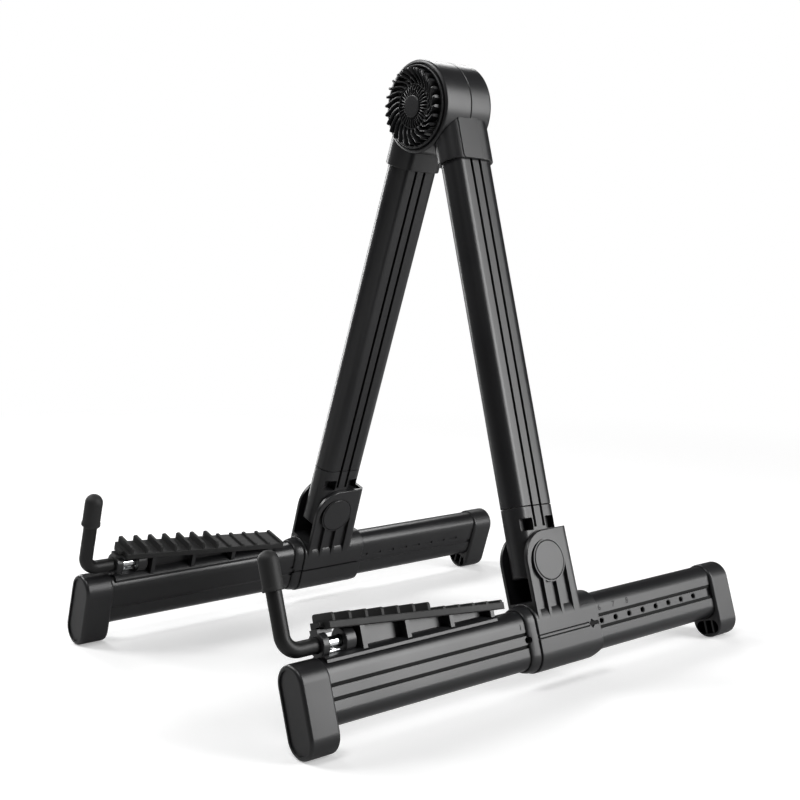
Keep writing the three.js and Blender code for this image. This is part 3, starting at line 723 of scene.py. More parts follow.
@dataclass
class Hub:
    """The drum's two heads, the finned clamp knob and the rear plug."""

    repeater: Repeater
    halves: dict[str, Half]
    radius: float = 25.2
    front: float = -18.6
    seam: float = -0.6
    rear: float = 15.2
    rear_round: float = 2.2
    seam_edge: float = 0.3
    lip: float = 1.2
    lip_inner_edge: float = 0.5
    lip_outer_edge: float = 0.6
    rim: float = 22.6
    gap_wide: float = 0.7
    gap_deep: float = 1.3
    recess: float = 21.2
    floor: float = -13.6
    plug_seat: float = 8.9
    plug_deep: float = 2.9
    collar_wall: float = 1.4
    collar_top: float = -13.0
    panel_half: float = 7.3
    panel_middle: float = -2.3
    panel_top: float = -12.2
    panel_proud: float = 0.4
    panel_root: float = 1.5
    panel_corner: float = 1.6
    collar_bottom: float = -36.5
    leg_top: float = -27.0
    fins: int = 26
    fin_from: float = 11.9
    fin_to: float = 20.6
    fin_sweep: float = 24.0
    fin_thick: float = 1.5
    plate: float = -17.0
    face: float = -21.0
    tips: float = -24.8
    ribs: int = 32
    rib_from: float = 6.6
    rib_to: float = 11.6
    rib_thick: float = 0.8
    rib_floor: float = 1.7
    skirt: float = 20.0
    eye: float = 6.1
    eye_face: float = -22.2
    eye_edge: float = 0.6
    round_sides: int = 128
    CREST: ClassVar[Outline] = [(-0.5, 0.75), (-0.43, 0.35), (-0.25, 0.09), (0, 0),
                                (0.25, 0.09), (0.43, 0.35), (0.5, 0.75)]

    def collar(self, half: Half) -> bpy.types.Object:
        """Make the collar round a leg's top.

        Args:
            half: the half that the leg belongs to.

        Returns:
            The collar, leaning with the leg.
        """
        margin = FIT + self.collar_wall
        body = prism(SECTION.plain(0, margin), Along.Z, self.collar_bottom, self.collar_top, 0.5)
        face = SECTION.centre + SECTION.half_thick + margin
        middle, high = (self.collar_bottom + self.panel_top) / 2, (self.panel_top - self.collar_bottom) / 2
        panel = prism(rounded(self.panel_middle, middle, self.panel_half, high, self.panel_corner, 5),
                      Along.X, face - self.panel_root, face + self.panel_proud, 0.35)
        body = combine(body, Join.ADD, [panel])
        hollow = prism(SECTION.plain(0, FIT), Along.Z, self.collar_bottom - 1, self.leg_top + FIT)
        return moved(combine(body, Join.CUT, [hollow]), half.lean_matrix())

    def front_head(self) -> bpy.types.Object:
        """Make the head with the knob's recess in its face.

        Returns:
            The head, joined to the left leg's collar.
        """
        lip, seam, gap = self.front - self.lip, self.seam - FIT / 2, self.front + self.gap_deep
        inner, outer, edge = self.lip_inner_edge, self.lip_outer_edge, self.seam_edge
        gap_rim = self.rim + self.gap_wide
        profile = [(0, self.floor), (self.recess, self.floor), (self.recess, lip + inner)]
        profile += arc(self.recess + inner, lip + inner, inner, 180, 270, 4)
        profile += arc(self.rim - outer, lip + outer, outer, 270, 360, 4)
        profile += [(self.rim, gap), (gap_rim, gap)]
        profile += [(gap_rim, self.front + 0.3), (gap_rim + 0.2, self.front + 0.1)]
        profile += [(self.radius - 0.9, self.front + 0.2), (self.radius - 0.3, self.front + 0.6)]
        profile += [(self.radius, gap), (self.radius, seam - edge), (self.radius - edge, seam), (0, seam)]
        collar = combine(self.collar(self.halves["left"]), Join.CUT,
                         [prism(disc(0, 0, self.radius + FIT), Along.Y, seam, BEYOND)])
        head = combine(turned(profile, self.round_sides), Join.ADD, [collar])
        recess = prism(disc(0, 0, self.recess, self.round_sides), Along.Y, lip - 1, self.floor)
        return combine(head, Join.CUT, [recess])

    def rear_head(self) -> bpy.types.Object:
        """Make the head that holds the clamp bolt.

        Returns:
            The head, joined to the right leg's collar.
        """
        seam, edge, corner = self.seam + FIT / 2, self.seam_edge, self.rear_round
        seat, bottom = self.plug_seat, self.rear - self.plug_deep
        profile = [(0, seam), (self.radius - edge, seam), (self.radius, seam + edge)]
        profile += arc(self.radius - corner, self.rear - corner, corner, 0, 90, 6)
        profile += [(seat + 0.4, self.rear), (seat, self.rear - 0.4), (seat, bottom), (0, bottom)]
        collar = combine(self.collar(self.halves["right"]), Join.CUT,
                         [prism(disc(0, 0, self.radius + FIT), Along.Y, -BEYOND, seam)])
        return combine(turned(profile, self.round_sides), Join.ADD, [collar])

    def blade(self, start: float, end: float, front: Sequence[float], sweep: float, thick: float,
              base: float, steps: int = 10) -> bpy.types.Object:
        """Return a blade that runs outward from the hub's axis and sweeps round as it goes.

        Args:
            start: inner radius.
            end: outer radius.
            front: height of the front edge at the inner and the outer end.
            sweep: angle that the blade turns through, in degrees.
            thick: thickness at the base.
            base: place of the blade's foot.
            steps: stations along the blade.

        Returns:
            The blade, about the Y axis.
        """
        bm = bmesh.new()
        rings = []
        for t in (i / steps for i in range(steps + 1)):
            radius = start + (end - start) * t
            angle = math.radians(sweep) * (t * t * (3 - 2 * t))
            crest = front[0] + (front[1] - front[0]) * t ** 1.3
            end_round = 1.1 * max(0.0, (t - 0.8) / 0.2) ** 2
            across = Vector((-math.sin(angle), 0, math.cos(angle)))
            middle = Vector((radius * math.cos(angle), 0, radius * math.sin(angle)))
            shape = [(-thick * 0.55, base), *((thick * a, crest + thick * b) for a, b in self.CREST),
                     (thick * 0.55, base)]
            rings.append([bm.verts.new(middle + across * a + Vector((0, min(y + end_round, base), 0)))
                          for a, y in shape])
        skin(bm, rings)
        return from_bmesh(bm, "blade")

    def knob(self) -> bpy.types.Object:
        """Make the dished knob with its outer fins and fine inner ribs.

        Returns:
            The knob, about the Y axis.
        """
        ring, post, dish = self.fin_from + 0.4, self.eye - 0.2, self.face + self.rib_floor
        back = self.floor - 0.4
        body = turned([(0, self.face + 0.5), (post, self.face + 0.5), (post, dish), (ring - 0.9, dish),
                       (ring - 0.6, self.face + 0.4), (ring - 0.1, self.face + 0.4), (ring, self.face + 0.7),
                       (ring, self.plate), (self.fin_to + 0.1, self.plate + 0.2),
                       (self.skirt, self.plate + 0.5), (self.skirt, back), (0, back)], 4 * self.fins)
        fin = self.blade(self.fin_from, self.fin_to, (self.face + 0.1, self.tips), self.fin_sweep,
                         self.fin_thick, self.plate + 0.6)
        fins = self.repeater.copies(fin, self.fins, turn=-math.tau / self.fins, finish=POLISHED)
        rib = self.blade(self.rib_from - 0.9, self.rib_to + 0.3, (self.face - 0.3, self.face - 0.3), 0,
                         self.rib_thick, dish + 0.2, 3)
        ribs = self.repeater.copies(rib, self.ribs, turn=-math.tau / self.ribs, finish=POLISHED)
        return combine(body, Join.ADD, [fins, ribs])

    def cap(self) -> bpy.types.Object:
        """Make the smooth disc in the knob's middle.

        Returns:
            The disc, about the Y axis.
        """
        edge = self.eye_edge
        profile = [(0, self.eye_face), (self.eye - 2 * edge, self.eye_face + 0.05)]
        profile += arc(self.eye - edge, self.eye_face + edge + 0.1, edge, -90, 0, 5)
        profile += [(self.eye, self.face + 0.45), (0, self.face + 0.45)]
        return turned(profile, 64)

    def plug(self) -> bpy.types.Object:
        """Make the plug over the bolt's head, at the rear.

        Returns:
            The plug, about the Y axis, with a dished face.
        """
        edge = 0.6
        top, bottom, radius = self.rear + edge, self.rear - self.plug_deep + FIT, self.plug_seat - FIT
        profile = [(0, bottom), (radius, bottom), *arc(radius - edge, top - edge, edge, 0, 90, 5)]
        profile += [(radius - 2.4, top), (radius - 2.8, top - 0.4), (0, top - 0.4)]
        return turned(profile, 64)

    def build(self) -> None:
        """Make the hub's pieces and dress them."""
        right, left = self.halves["right"], self.halves["left"]
        upright = Matrix.Translation(right.matrix.translation) @ Matrix.Scale(MM, 4)
        dress(self.front_head(), "front_head", MOULDED, "left_leg", ["hub_front_head"], left.matrix)
        dress(self.rear_head(), "rear_head", MOULDED, "right_leg", ["hub_rear_head"], right.matrix)
        dress(self.knob(), "finned_knob", POLISHED, "knob", ["clamp_knob"], upright)
        dress(self.cap(), "knob_eye", MOULDED, "knob", ["knob_cap"], upright)
        dress(self.plug(), "rear_plug", GRAINED, "right_leg", ["hub_rear_plug"], right.matrix)


# ---------------------------------------------------------------- legs


@dataclass
class Leg:
    """A leg's extruded tube and the fitting in its lower end."""

    half: Half
    top: float = -27.0
    seam: float = -226.0
    tip: float = -263.0
    pivot: float = -255.0
    pocket_top: float = -232.0
    pocket_bottom: float = -238.5
    pocket_sides: Point = (4.6, 12.6)
    pocket_deep: float = 5.0
    toe: float = 3.5
    heel_pull: float = 11.0
    heel_end: float = 13.6

    def tube(self) -> bpy.types.Object:
        """Make the leg's tube, which is grooved on both faces.

        Returns:
            The tube, leaning with the leg.
        """
        inner = [(way * SECTION.groove_offset, SECTION.groove_wide, SECTION.groove_deep) for way in (1, -1)]
        tube = prism(SECTION.grooved(0, inner), Along.Z, self.seam + FIT, self.top, 0.3, 2)
        return moved(tube, self.half.lean_matrix())

    def pockets(self) -> list[bpy.types.Object]:
        """Make the solids that cut the fitting's pockets and the ends of its grooves.

        Returns:
            The solids, before they lean.
        """
        near, far = self.pocket_sides
        middle, high = (self.pocket_top + self.pocket_bottom) / 2, (self.pocket_top - self.pocket_bottom) / 2
        wide = SECTION.groove_wide / 2
        pockets = []
        for face in (-1, 1):
            x = SECTION.centre + face * SECTION.half_thick
            for way in (-1, 1):
                outline = rounded(way * (near + far) / 2, middle, (far - near) / 2, high, 0.8, 4)
                pockets.append(prism(outline, Along.X, x - self.pocket_deep, x + self.pocket_deep))
                y = way * SECTION.groove_offset
                groove = rectangle(y - wide, y + wide, self.pocket_bottom + 1.5, self.seam + 1)
                pockets.append(prism(groove, Along.X, x - SECTION.groove_deep, x + SECTION.groove_deep))
        return pockets

    def end(self) -> bpy.types.Object:
        """Make the fitting that turns on the pivot.

        Returns:
            The fitting, leaning with the leg.
        """
        front, rear = -SECTION.half_high, SECTION.half_high
        toe, tip = self.toe, self.tip
        eye = [(front - 1, self.seam + 1), (front - 1, tip + toe + 0.5)]
        eye += arc(front + toe, tip + toe, toe, 180, 270, 8)
        eye += bend((1, tip), (self.heel_pull, tip), (self.heel_end, tip + toe))
        eye += [(rear + 1, self.pivot - 2), (rear + 1, self.seam + 1)]
        body = prism(SECTION.plain(0), Along.Z, tip - 1, self.seam, 0.3, 2)
        body = combine(body, Join.KEEP, [prism(eye, Along.X, -BEYOND, BEYOND)])
        return moved(combine(body, Join.CUT, self.pockets()), self.half.lean_matrix())

    def build(self) -> None:
        """Make and dress the leg's pieces."""
        name = self.half.name
        body = f"{name}_leg"
        dress(self.tube(), f"{name}_leg_extrusion", EXTRUDED, body, [f"{name}_leg_tube"], self.half.matrix)
        dress(self.end(), f"{name}_leg_fitting", MOULDED, body, [f"{name}_leg_end"], self.half.matrix)


# ---------------------------------------------------------------- slider


@dataclass
class Slider:
    """The sleeve on the foot, its two cheeks and the caps on the fold pivot."""

    half: Half
    foot_depth: float = -292.0
    front: float = -33.6
    rear: float = 19.0
    wall: float = 2.3
    ring_in: float = 1.0
    ring_long: float = 6.4
    chamfer: float = 6.0
    radius: float = 16.0
    rear_wall: float = 2.6
    corner: float = 5.0
    rim: float = 2.4
    offset: float = 1.2
    recess: float = 1.75
    rib_places: tuple[float, float, float] = (-6.5, 2.6, 11.8)
    rib_half: float = 0.8
    rib_end: float = -287.0
    cap: float = 10.3
    line_deep: float = 1.1
    swing_gap: float = 1.1
    plan_half: float = 30.0
    pointer_rise: float = 0.15
    arrow: tuple[float, float, float] = (10.4, 12.6, 14.6)
    arrow_half: float = 2.55
    shaft_half: float = 1.05
    line_apart: float = 0.9
    line_half: float = 0.38

    def cheeks(self) -> bpy.types.Object:
        """Return the block of the two cheeks before it is slotted.

        Returns:
            The block, in the half's millimetres.
        """
        y, z = self.half.pivot
        rear = y + SECTION.half_high + self.swing_gap + self.rear_wall
        half = SECTION.half_thick + FIT + self.wall
        outline = [(y - self.radius, self.foot_depth + 6), (rear, self.foot_depth + 6)]
        outline += arc(rear - 1, z + self.radius - 1, 1, 0, 90, 4) + arc(y, z, self.radius, 90, 180, 20)
        block = prism(outline, Along.X, SECTION.centre - half, SECTION.centre + half, 0.7)
        plan = rounded(SECTION.centre, rear - self.plan_half, half, self.plan_half, self.corner, 8)
        return combine(block, Join.KEEP, [prism(plan, Along.Z, self.foot_depth, 0)])

    def hollow(self, face: int) -> bpy.types.Object:
        """Return what is sunk into a cheek round its boss and ribs.

        Args:
            face: 1 for the outer cheek and -1 for the inner one.

        Returns:
            The solid to cut away.
        """
        y, z = self.half.pivot
        x = SECTION.centre + face * (SECTION.half_thick + FIT + self.wall)
        r = self.radius - self.rim
        last = y + self.rib_places[-1]
        outline = [(y - r, self.rib_end), (last, self.rib_end), (last, z)]
        outline += arc(y - self.offset, z - self.offset, r - self.offset, 0, 180, 24)
        sunk = sorted((x - face * self.recess, x + face))
        area = prism(outline, Along.X, *sunk)
        keep = [prism(disc(y, z, self.cap + 0.9, 64), Along.X, x - 3, x + 3)]
        for place in self.rib_places:
            middle = y + place
            keep.append(prism([(middle - self.rib_half * 1.2, self.rib_end - 1),
                               (middle + self.rib_half * 1.2, self.rib_end - 1),
                               (middle + self.rib_half * 0.8, z), (middle - self.rib_half * 0.8, z)],
                              Along.X, x - 3, x + 3))
        return combine(area, Join.CUT, keep)

    def pointer(self, bottom: float, top: float, spare: float) -> list[bpy.types.Object]:
        """Return the double line and its arrow as solids.

        Args:
            bottom: their lowest place, outward from the hub.
            top: their highest place.
            spare: how far they run past the sleeve's ends.

        Returns:
            Two lines and the arrow.
        """
        z, rear = self.foot_depth + self.pointer_rise, self.rear + spare
        tip, barb, neck = self.arrow
        wide, narrow = self.arrow_half, self.shaft_half
        arrow = [(tip, z), (barb, z + wide), (neck, z + narrow), (rear, z + narrow),
                 (rear, z - narrow), (neck, z - narrow), (barb, z - wide)]
        start = self.front + self.ring_long - spare
        lines = [prism(rectangle(start, tip + 0.3, level - self.line_half, level + self.line_half),
                       Along.X, bottom, top)
                 for level in (z + self.line_apart, z - self.line_apart)]
        return [*lines, prism(arrow, Along.X, bottom, top)]

    def pointer_shade_floor(self) -> bpy.types.Object:
        """Return the dark floor laid in the pointer's cut: painted shade that makes the recessed arrow and its
        two lines read dark.

        Returns:
            The arrow and its two lines, as one solid.
        """
        x = SECTION.centre + SECTION.half_thick + FIT + self.wall
        arrow, *lines = reversed(self.pointer(x - self.line_deep - 0.1, x - 0.8, -0.2))
        return combine(arrow, Join.ADD, lines)

    def marks(self) -> list[bpy.types.Object]:
        """Return the cuts on the sleeve: the pointer, the slit and the notches at the ends.

        Returns:
            The solids to cut away.
        """
        x = SECTION.centre + SECTION.half_thick + FIT + self.wall
        inner = SECTION.centre - (x - SECTION.centre)
        z = self.foot_depth
        cuts = self.pointer(x - self.line_deep, x + 1, 1.0)
        cuts.append(prism(rectangle(self.front - 1, self.rear + 1, z - 0.55, z + 0.55), Along.X,
                          inner - 1, inner + self.line_deep + self.ring_in))
        for y in (self.front, self.rear):
            cuts.append(prism(disc(y, z, 1.6, 24), Along.X, inner - 1, inner + self.wall + 1))
        cuts.append(prism(disc(self.front, z, 1.9, 24), Along.X, x - self.wall - 1, x + 2))
        return cuts

    def sleeve(self) -> bpy.types.Object:
        """Return the whole slider.

        Returns:
            The sleeve with its front ring and its two cheeks.
        """
        z = self.foot_depth
        margin = FIT + self.wall
        shoulder = self.front + self.ring_long
        tube = prism(SECTION.plain(z, margin), Along.Y, shoulder, self.rear, 0.5)
        steps = ((-1.3, 0.0), (-0.85, 0.15), (-0.5, 0.6), (0.0, 2.4), (0.35, self.ring_long - 1.0),
                 (0.0, self.ring_long - 0.5), (0.0, self.ring_long + 1.0))
        ring = loft([(SECTION.plain(z, margin - self.ring_in + grown), self.front + place)
                     for grown, place in steps], Along.Y)
        body = combine(tube, Join.ADD, [ring])
        cheeks = self.cheeks()
        slot_half = SECTION.half_thick + 0.4
        top = z + SECTION.half_high + margin
        slot = moved(prism(rectangle(-BEYOND, SECTION.half_high + 0.6, -FAR, 0), Along.X,
                           SECTION.centre - slot_half, SECTION.centre + slot_half), self.half.lean_matrix())
        above = prism(rectangle(-BEYOND, BEYOND, -BEYOND, BEYOND), Along.Z, top, 0)
        y, pivot = self.half.pivot
        caps = [prism(disc(y, pivot, self.cap + FIT, 64), Along.X, *sorted((x - 1.0, x + 1.0)))
                for x in (SECTION.centre + face * (SECTION.half_thick + margin) for face in (-1, 1))]
        cheeks = combine(cheeks, Join.CUT, [combine(slot, Join.KEEP, [above]), self.hollow(1),
                                            self.hollow(-1), *caps])
        body = combine(body, Join.ADD, [cheeks])
        low = z - SECTION.half_high - margin
        corner = [(self.rear + 1, low - 1), (self.rear + 1, low + self.chamfer - 1),
                  (self.rear - self.chamfer, low), (self.rear - self.chamfer, low - 1)]
        cuts = [prism(SECTION.plain(z, FIT), Along.Y, self.front - 1, self.rear + 1),
                prism(corner, Along.X, -BEYOND, BEYOND), *self.marks()]
        return combine(body, Join.CUT, cuts)

    def pivot_cap(self, face: int) -> bpy.types.Object:
        """Return the flat cap on one side of the pivot.

        Args:
            face: 1 for the outer side and -1 for the inner one.

        Returns:
            The cap, in place on its cheek.
        """
        base = SECTION.half_thick + FIT + self.wall - 0.7
        top = base + 0.95
        profile = [(0, base), (self.cap - 0.2, base), (self.cap, base + 0.2)]
        profile += arc(self.cap - 0.5, top - 0.5, 0.5, 0, 90, 5) + [(0, top)]
        cap = turned(profile, 64)
        turn = Matrix.Rotation(math.radians(-90 * face), 4, "Z")
        y, z = self.half.pivot
        return moved(cap, Matrix.Translation((SECTION.centre, y, z)) @ turn)

    def build(self) -> None:
        """Make and dress the slider's pieces."""
        name = self.half.name
        body = f"{name}_slider"
        dress(self.sleeve(), f"{name}_sleeve", MOULDED, body, [f"{name}_slider"], self.half.matrix)
        # Painted shade: a dark matt floor in the pointer's cut.
        dress(self.pointer_shade_floor(), f"{name}_pointer", PRINT_AND_PAINTED_SHADE, body, [], self.half.matrix)
        for face, place in ((1, "outer"), (-1, "inner")):
            dress(self.pivot_cap(face), f"{name}_cap_{place}", MOULDED, body,
                  [f"{name}_pivot_cap_{place}"], self.half.matrix)


# ---------------------------------------------------------------- foot


@dataclass
class Foot:
    """The foot tube, its end caps and its position numbers."""

    half: Half
    repeater: Repeater
    middle: float = -292.0
    front: float = -162.0
    rear: float = 124.0
    cap_front: float = -174.0
    cap_rear: float = 136.0
    first_hole: float = -33.6
    pitch: float = 11.35
    holes: int = 13
    numbered: int = 8
    hole_radius: float = 1.5
    first_shift: float = -3.2
    number_rise: float = 6.9
    number_size: float = 4.4
    hole_deep: float = 2.6
    inner_groove: tuple[float, float, float] = (-2.0, 2.4, 0.9)
    cap_rib: float = 2.5
    socket_from: float = 11.7
    # Depth, thickness and overlap of the dark strips that paint shade onto the floors of the outer grooves.
    shade_strip_deep: float = 0.8
    shade_strip_thick: float = 0.5
    shade_strip_bite: float = 0.02
    cap_half: float = 9.6
    cap_above: float = 16.1
    cap_below: float = 26.5
    cap_deep: float = 16.5
    cap_edge: float = 1.7

    def tube(self) -> bpy.types.Object:
        """Return the foot tube with its holes and notches.

        Returns:
            The tube, in the half's millimetres.
        """
        outer = SECTION.centre + SECTION.half_thick
        inner = SECTION.centre - SECTION.half_thick
        outline = SECTION.grooved(self.middle, [self.inner_groove])
        body = prism(outline, Along.Y, self.front, self.rear, 0.3, 2)
        hole = prism(disc(0, self.middle, self.hole_radius, 24), Along.X, outer - self.hole_deep, outer + 1)
        rim = prism(disc(0, self.middle, self.hole_radius + 0.35, 24), Along.X, outer - 0.25, outer + 1)
        notch = prism(rounded(0, self.middle + 2.4, 3.0, 0.8, 0.5, 3), Along.X, inner - 1, inner + 0.6)
        row = {"first": (0, self.first_hole, 0), "step": (0, self.pitch, 0)}
        cuts = [self.repeater.copies(cut, self.holes, finish=EXTRUDED, **row) for cut in (hole, rim, notch)]
        stop = self.cap_rear - self.cap_deep
        cuts.append(prism(rectangle(stop - 4.0, stop + 1.0, self.middle - 3.4, self.middle + 3.4), Along.X,
                          outer - 1.4, outer + 1))
        return combine(body, Join.CUT, cuts)

    def groove_shade_strips(self) -> bpy.types.Object:
        """Return dark matt strips laid on the floors of the two outer grooves: painted shade that makes the
        grooves read as dark lines.

        Returns:
            Both strips, as one mesh.
        """
        outer = SECTION.centre + SECTION.half_thick
        half = SECTION.groove_wide / 2 + self.shade_strip_bite
        strips = [prism(rectangle(self.front + 1, self.rear - 1, z - half, z + half), Along.X,
                        outer - self.shade_strip_deep - self.shade_strip_thick, outer - self.shade_strip_deep)
                  for z in (self.middle + way * SECTION.groove_offset for way in (-1, 1))]
        holes = [prism(disc(self.first_hole + k * self.pitch, self.middle, self.hole_radius + 0.4, 24),
                       Along.X, outer - 3, outer + 1) for k in range(self.holes)]
        return combine(combine(strips[0], Join.ADD, strips[1:]), Join.CUT, holes)

    def end_cap(self) -> bpy.types.Object:
        """Return an end cap with its outer face at y = 0 and its socket to the rear."""
        half_high = (self.cap_above + self.cap_below) / 2
        centre = self.middle + (self.cap_above - self.cap_below) / 2

        def stadium(inset: float) -> Outline:
            """Return the cap's outline, shrunk by an inset."""
            half = self.cap_half - inset
            return rounded(SECTION.centre, centre, half, half_high - inset, half, 16)

        body = prism(stadium(0), Along.Y, 0, self.cap_deep, self.cap_edge, 5)
        panel = prism(stadium(2.2), Along.Y, -1, 0.8)
        socket = prism(SECTION.plain(self.middle, FIT), Along.Y, self.socket_from, self.cap_deep + 1)
        top = self.middle - SECTION.half_high - FIT - 1.0
        low = self.middle - self.cap_below + 2.2
        skirt = prism(rounded(SECTION.centre, (top + low) / 2, self.cap_half - 2.2, (top - low) / 2, 3.5),
                      Along.Y, 5, self.cap_deep + 1)
        ribs = [prism(rectangle(SECTION.centre + x - 0.6, SECTION.centre + x + 0.6, low - 1, top + 1),
                      Along.Y, 4, self.cap_deep - 1.5) for x in (-self.cap_rib, self.cap_rib)]
        below = prism(rectangle(-2, 2, -2, 2), Along.Y, -2, 2)
        moved(below, self.half.matrix.inverted() @ Matrix.Translation((0, 0, -2)))
        return combine(body, Join.CUT, [panel, socket, combine(skirt, Join.CUT, ribs), below])

    def numbers(self) -> bpy.types.Object:
        """Return the row of printed position numbers.

        Returns:
            The numerals, as one mesh.
        """
        outer = SECTION.centre + SECTION.half_thick
        bm = bmesh.new()
        for k in range(self.numbered):
            curve = bpy.data.curves.new("numeral", "FONT")
            curve.body = str(k + 1)
            curve.size = self.number_size
            curve.align_x = curve.align_y = "CENTER"
            curve.extrude = 0.04
            curve.resolution_u = 6
            text = bpy.data.objects.new("numeral", curve)
            bpy.context.scene.collection.objects.link(text)
            mesh = evaluated(text)
            y = self.first_hole + k * self.pitch + (0 if k else self.first_shift)
            facing = Matrix(((0, 0, 1, outer), (self.half.side, 0, 0, y),
                             (0, 1, 0, self.middle + self.number_rise), (0, 0, 0, 1)))
            mesh.transform(facing)
            bm.from_mesh(mesh)
            bpy.data.objects.remove(text)
        bmesh.ops.remove_doubles(bm, verts=bm.verts, dist=1e-4)
        return from_bmesh(bm, "numbers")

    def build(self) -> None:
        """Make and dress the foot's pieces."""
        name = self.half.name
        body = f"{name}_foot"
        matrix = self.half.matrix
        dress(self.tube(), f"{name}_foot_extrusion", EXTRUDED, body, [f"{name}_foot_tube"], matrix)
        # Painted shade: dark matt strips on the floors of the outer grooves.
        dress(self.groove_shade_strips(), f"{name}_groove_liner", PRINT_AND_PAINTED_SHADE, body, [], matrix)
        dress(self.numbers(), f"{name}_numbers", PRINT_AND_PAINTED_SHADE, body, [], matrix)
        cap = self.end_cap()
        rear = copied(cap)
        moved(rear, Matrix.Translation((0, self.cap_rear, 0)) @ Matrix.Scale(-1, 4, (0, 1, 0)))
        moved(cap, Matrix.Translation((0, self.cap_front, 0)))
        dress(cap, f"{name}_cap_front", GRAINED, body, [f"{name}_front_cap"], matrix)
        dress(rear, f"{name}_cap_rear", GRAINED, body, [f"{name}_rear_cap"], matrix)


# ---------------------------------------------------------------- wedge and arm


@dataclass
class Wedge:
    """The tray on the foot and the ribbed rubber pad on it."""

    half: Half
    repeater: Repeater
    foot_top: float = -276.7
    front: float = -152.0
    rear: float = -44.5
    top: float = -261.0
    slope: float = -0.0895
    thick: float = 3.5
    pad_half: float = 7.8
    plate_half: float = 6.6
    plate_thick: float = 1.6
    tray_rear: float = -50.0
    ribs: tuple[float, ...] = (-133.5, -107.0, -79.5, -52.5)
    first_fin: float = -149.2
    fin_pitch: float = 9.35
    tall_fins: int = 7
    low_fins: int = 5
    fin_half: float = 0.9
    tall_rise: float = 3.9
    low_rise: float = 1.3
    foot_middle: float = -292.0
    web_half: float = 1.2
    web_front: float = -140.0
    plate_front: float = -149.7
    front_bearing: Point = (-156.0, -152.0)
    rear_bearing: Point = (-143.0, -137.0)
    bearing: float = 6.0

    def level(self, y: float) -> float:
        """Return the height of the pad's top at a place along the foot."""
        return self.top + self.slope * (y - self.front)

    def band(self, y0: float, y1: float, upper: float, lower: float) -> Outline:
        """Return a band that follows the slope, between two depths below the pad's top."""
        return [(y0, self.level(y0) - lower), (y1, self.level(y1) - lower),
                (y1, self.level(y1) - upper), (y0, self.level(y0) - upper)]

    def fin_row(self, first: int, count: int, rise: float) -> bpy.types.Object:
        """Return a row of cross fins of one height."""
        outline = rounded(SECTION.centre, (rise - 1.0) / 2, self.pad_half, (rise + 1.0) / 2,
                          min(1.4, rise * 0.6), 5)
        fin = prism(outline, Along.Y, -self.fin_half, self.fin_half, 0.35, 2)
        y = self.first_fin + first * self.fin_pitch
        return self.repeater.copies(fin, count, (0, y, self.level(y)),
                                    (0, self.fin_pitch, self.slope * self.fin_pitch), finish=RUBBER)

    def pad(self) -> bpy.types.Object:
        """Return the pad with its fins and front tab.

        Returns:
            The pad, in the half's millimetres.
        """
        x = SECTION.centre
        body = prism(self.band(self.front, self.rear, 0, self.thick), Along.X, x - self.pad_half,
                     x + self.pad_half, 0.6)
        nose = prism(self.band(self.front - 2.6, self.front + 1, 0.2, 2.4), Along.X, x - 3.4, x + 3.4, 0.4)
        body = combine(body, Join.ADD, [nose, self.fin_row(0, self.tall_fins, self.tall_rise),
                                        self.fin_row(self.tall_fins, self.low_fins, self.low_rise)])
        under = self.thick - self.plate_thick - FIT
        pocket = prism(self.band(self.plate_front - FIT, self.tray_rear + FIT, under, self.thick + 1),
                       Along.X, x - self.plate_half - FIT, x + self.plate_half + FIT)
        neck = prism(self.band(self.front - FIT, self.plate_front, under, self.thick + 1), Along.X,
                     x - 3.3, x + 3.3)
        return combine(body, Join.CUT, [pocket, neck])

    def tray(self, axis: float) -> bpy.types.Object:
        """Return the tray: web, cross ribs, plate, saddle and the arm's two bearings.

        Args:
            axis: height of the arm's axis.

        Returns:
            The tray.
        """
        x, half = SECTION.centre, self.plate_half

        def under(y: float) -> float:
            """Return the height at which the tray meets its plate."""
            return self.level(y) - self.thick + 0.5

        side = [(self.web_front, self.foot_top), (self.tray_rear, self.foot_top),
                (self.tray_rear, under(self.tray_rear)), (self.web_front, under(self.web_front))]
        body = prism(side, Along.X, x - self.web_half, x + self.web_half)
        plate = self.band(self.plate_front, self.tray_rear, self.thick - self.plate_thick, self.thick)
        parts = [prism(plate, Along.X, x - half, x + half)]
        for y in self.ribs:
            rib = prism(side, Along.X, x - half, x + half)
            width = prism(rectangle(y - self.web_half, y + self.web_half, -FAR, 0), Along.X, -BEYOND, BEYOND)
            parts.append(combine(rib, Join.KEEP, [width]))
        start, stop = self.front_bearing
        saddle = prism(SECTION.plain(self.foot_middle, FIT + 1.2), Along.Y, start, self.tray_rear)
        top = rectangle(x - half, x + half, self.foot_top - 2.4, self.foot_top + 5)
        parts.append(combine(saddle, Join.KEEP, [prism(top, Along.Y, start - 4, 0)]))
        parts.append(prism(disc(x, axis, self.bearing, 48), Along.Y, start, stop, 0.5))
        parts.append(prism(rectangle(x - 3, x + 3, axis + 4.5, under(stop)), Along.Y, start, stop + 4))
        parts.append(prism(disc(x, axis, self.bearing, 48), Along.Y, *self.rear_bearing, 0.5))
        body = combine(body, Join.ADD, parts)
        rear_start, rear_stop = self.rear_bearing
        return combine(body, Join.CUT, [
            prism(SECTION.plain(self.foot_middle, FIT), Along.Y, -BEYOND * 2, BEYOND),
            prism(disc(x, axis, 4.0, 32), Along.Y, start - 1, stop + 1),
            prism(disc(x, axis, 3.0, 32), Along.Y, rear_start - 1, rear_stop - 1.1)])

    def build(self) -> None:
        """Make and dress the wedge's pieces."""
        name = self.half.name
        body = f"{name}_foot"
        dress(self.tray(self.half.arm_depth), f"{name}_tray", MOULDED, body, [f"{name}_wedge_tray"],
              self.half.matrix)
        dress(self.pad(), f"{name}_pad", RUBBER, body, [f"{name}_wedge_pad"], self.half.matrix)


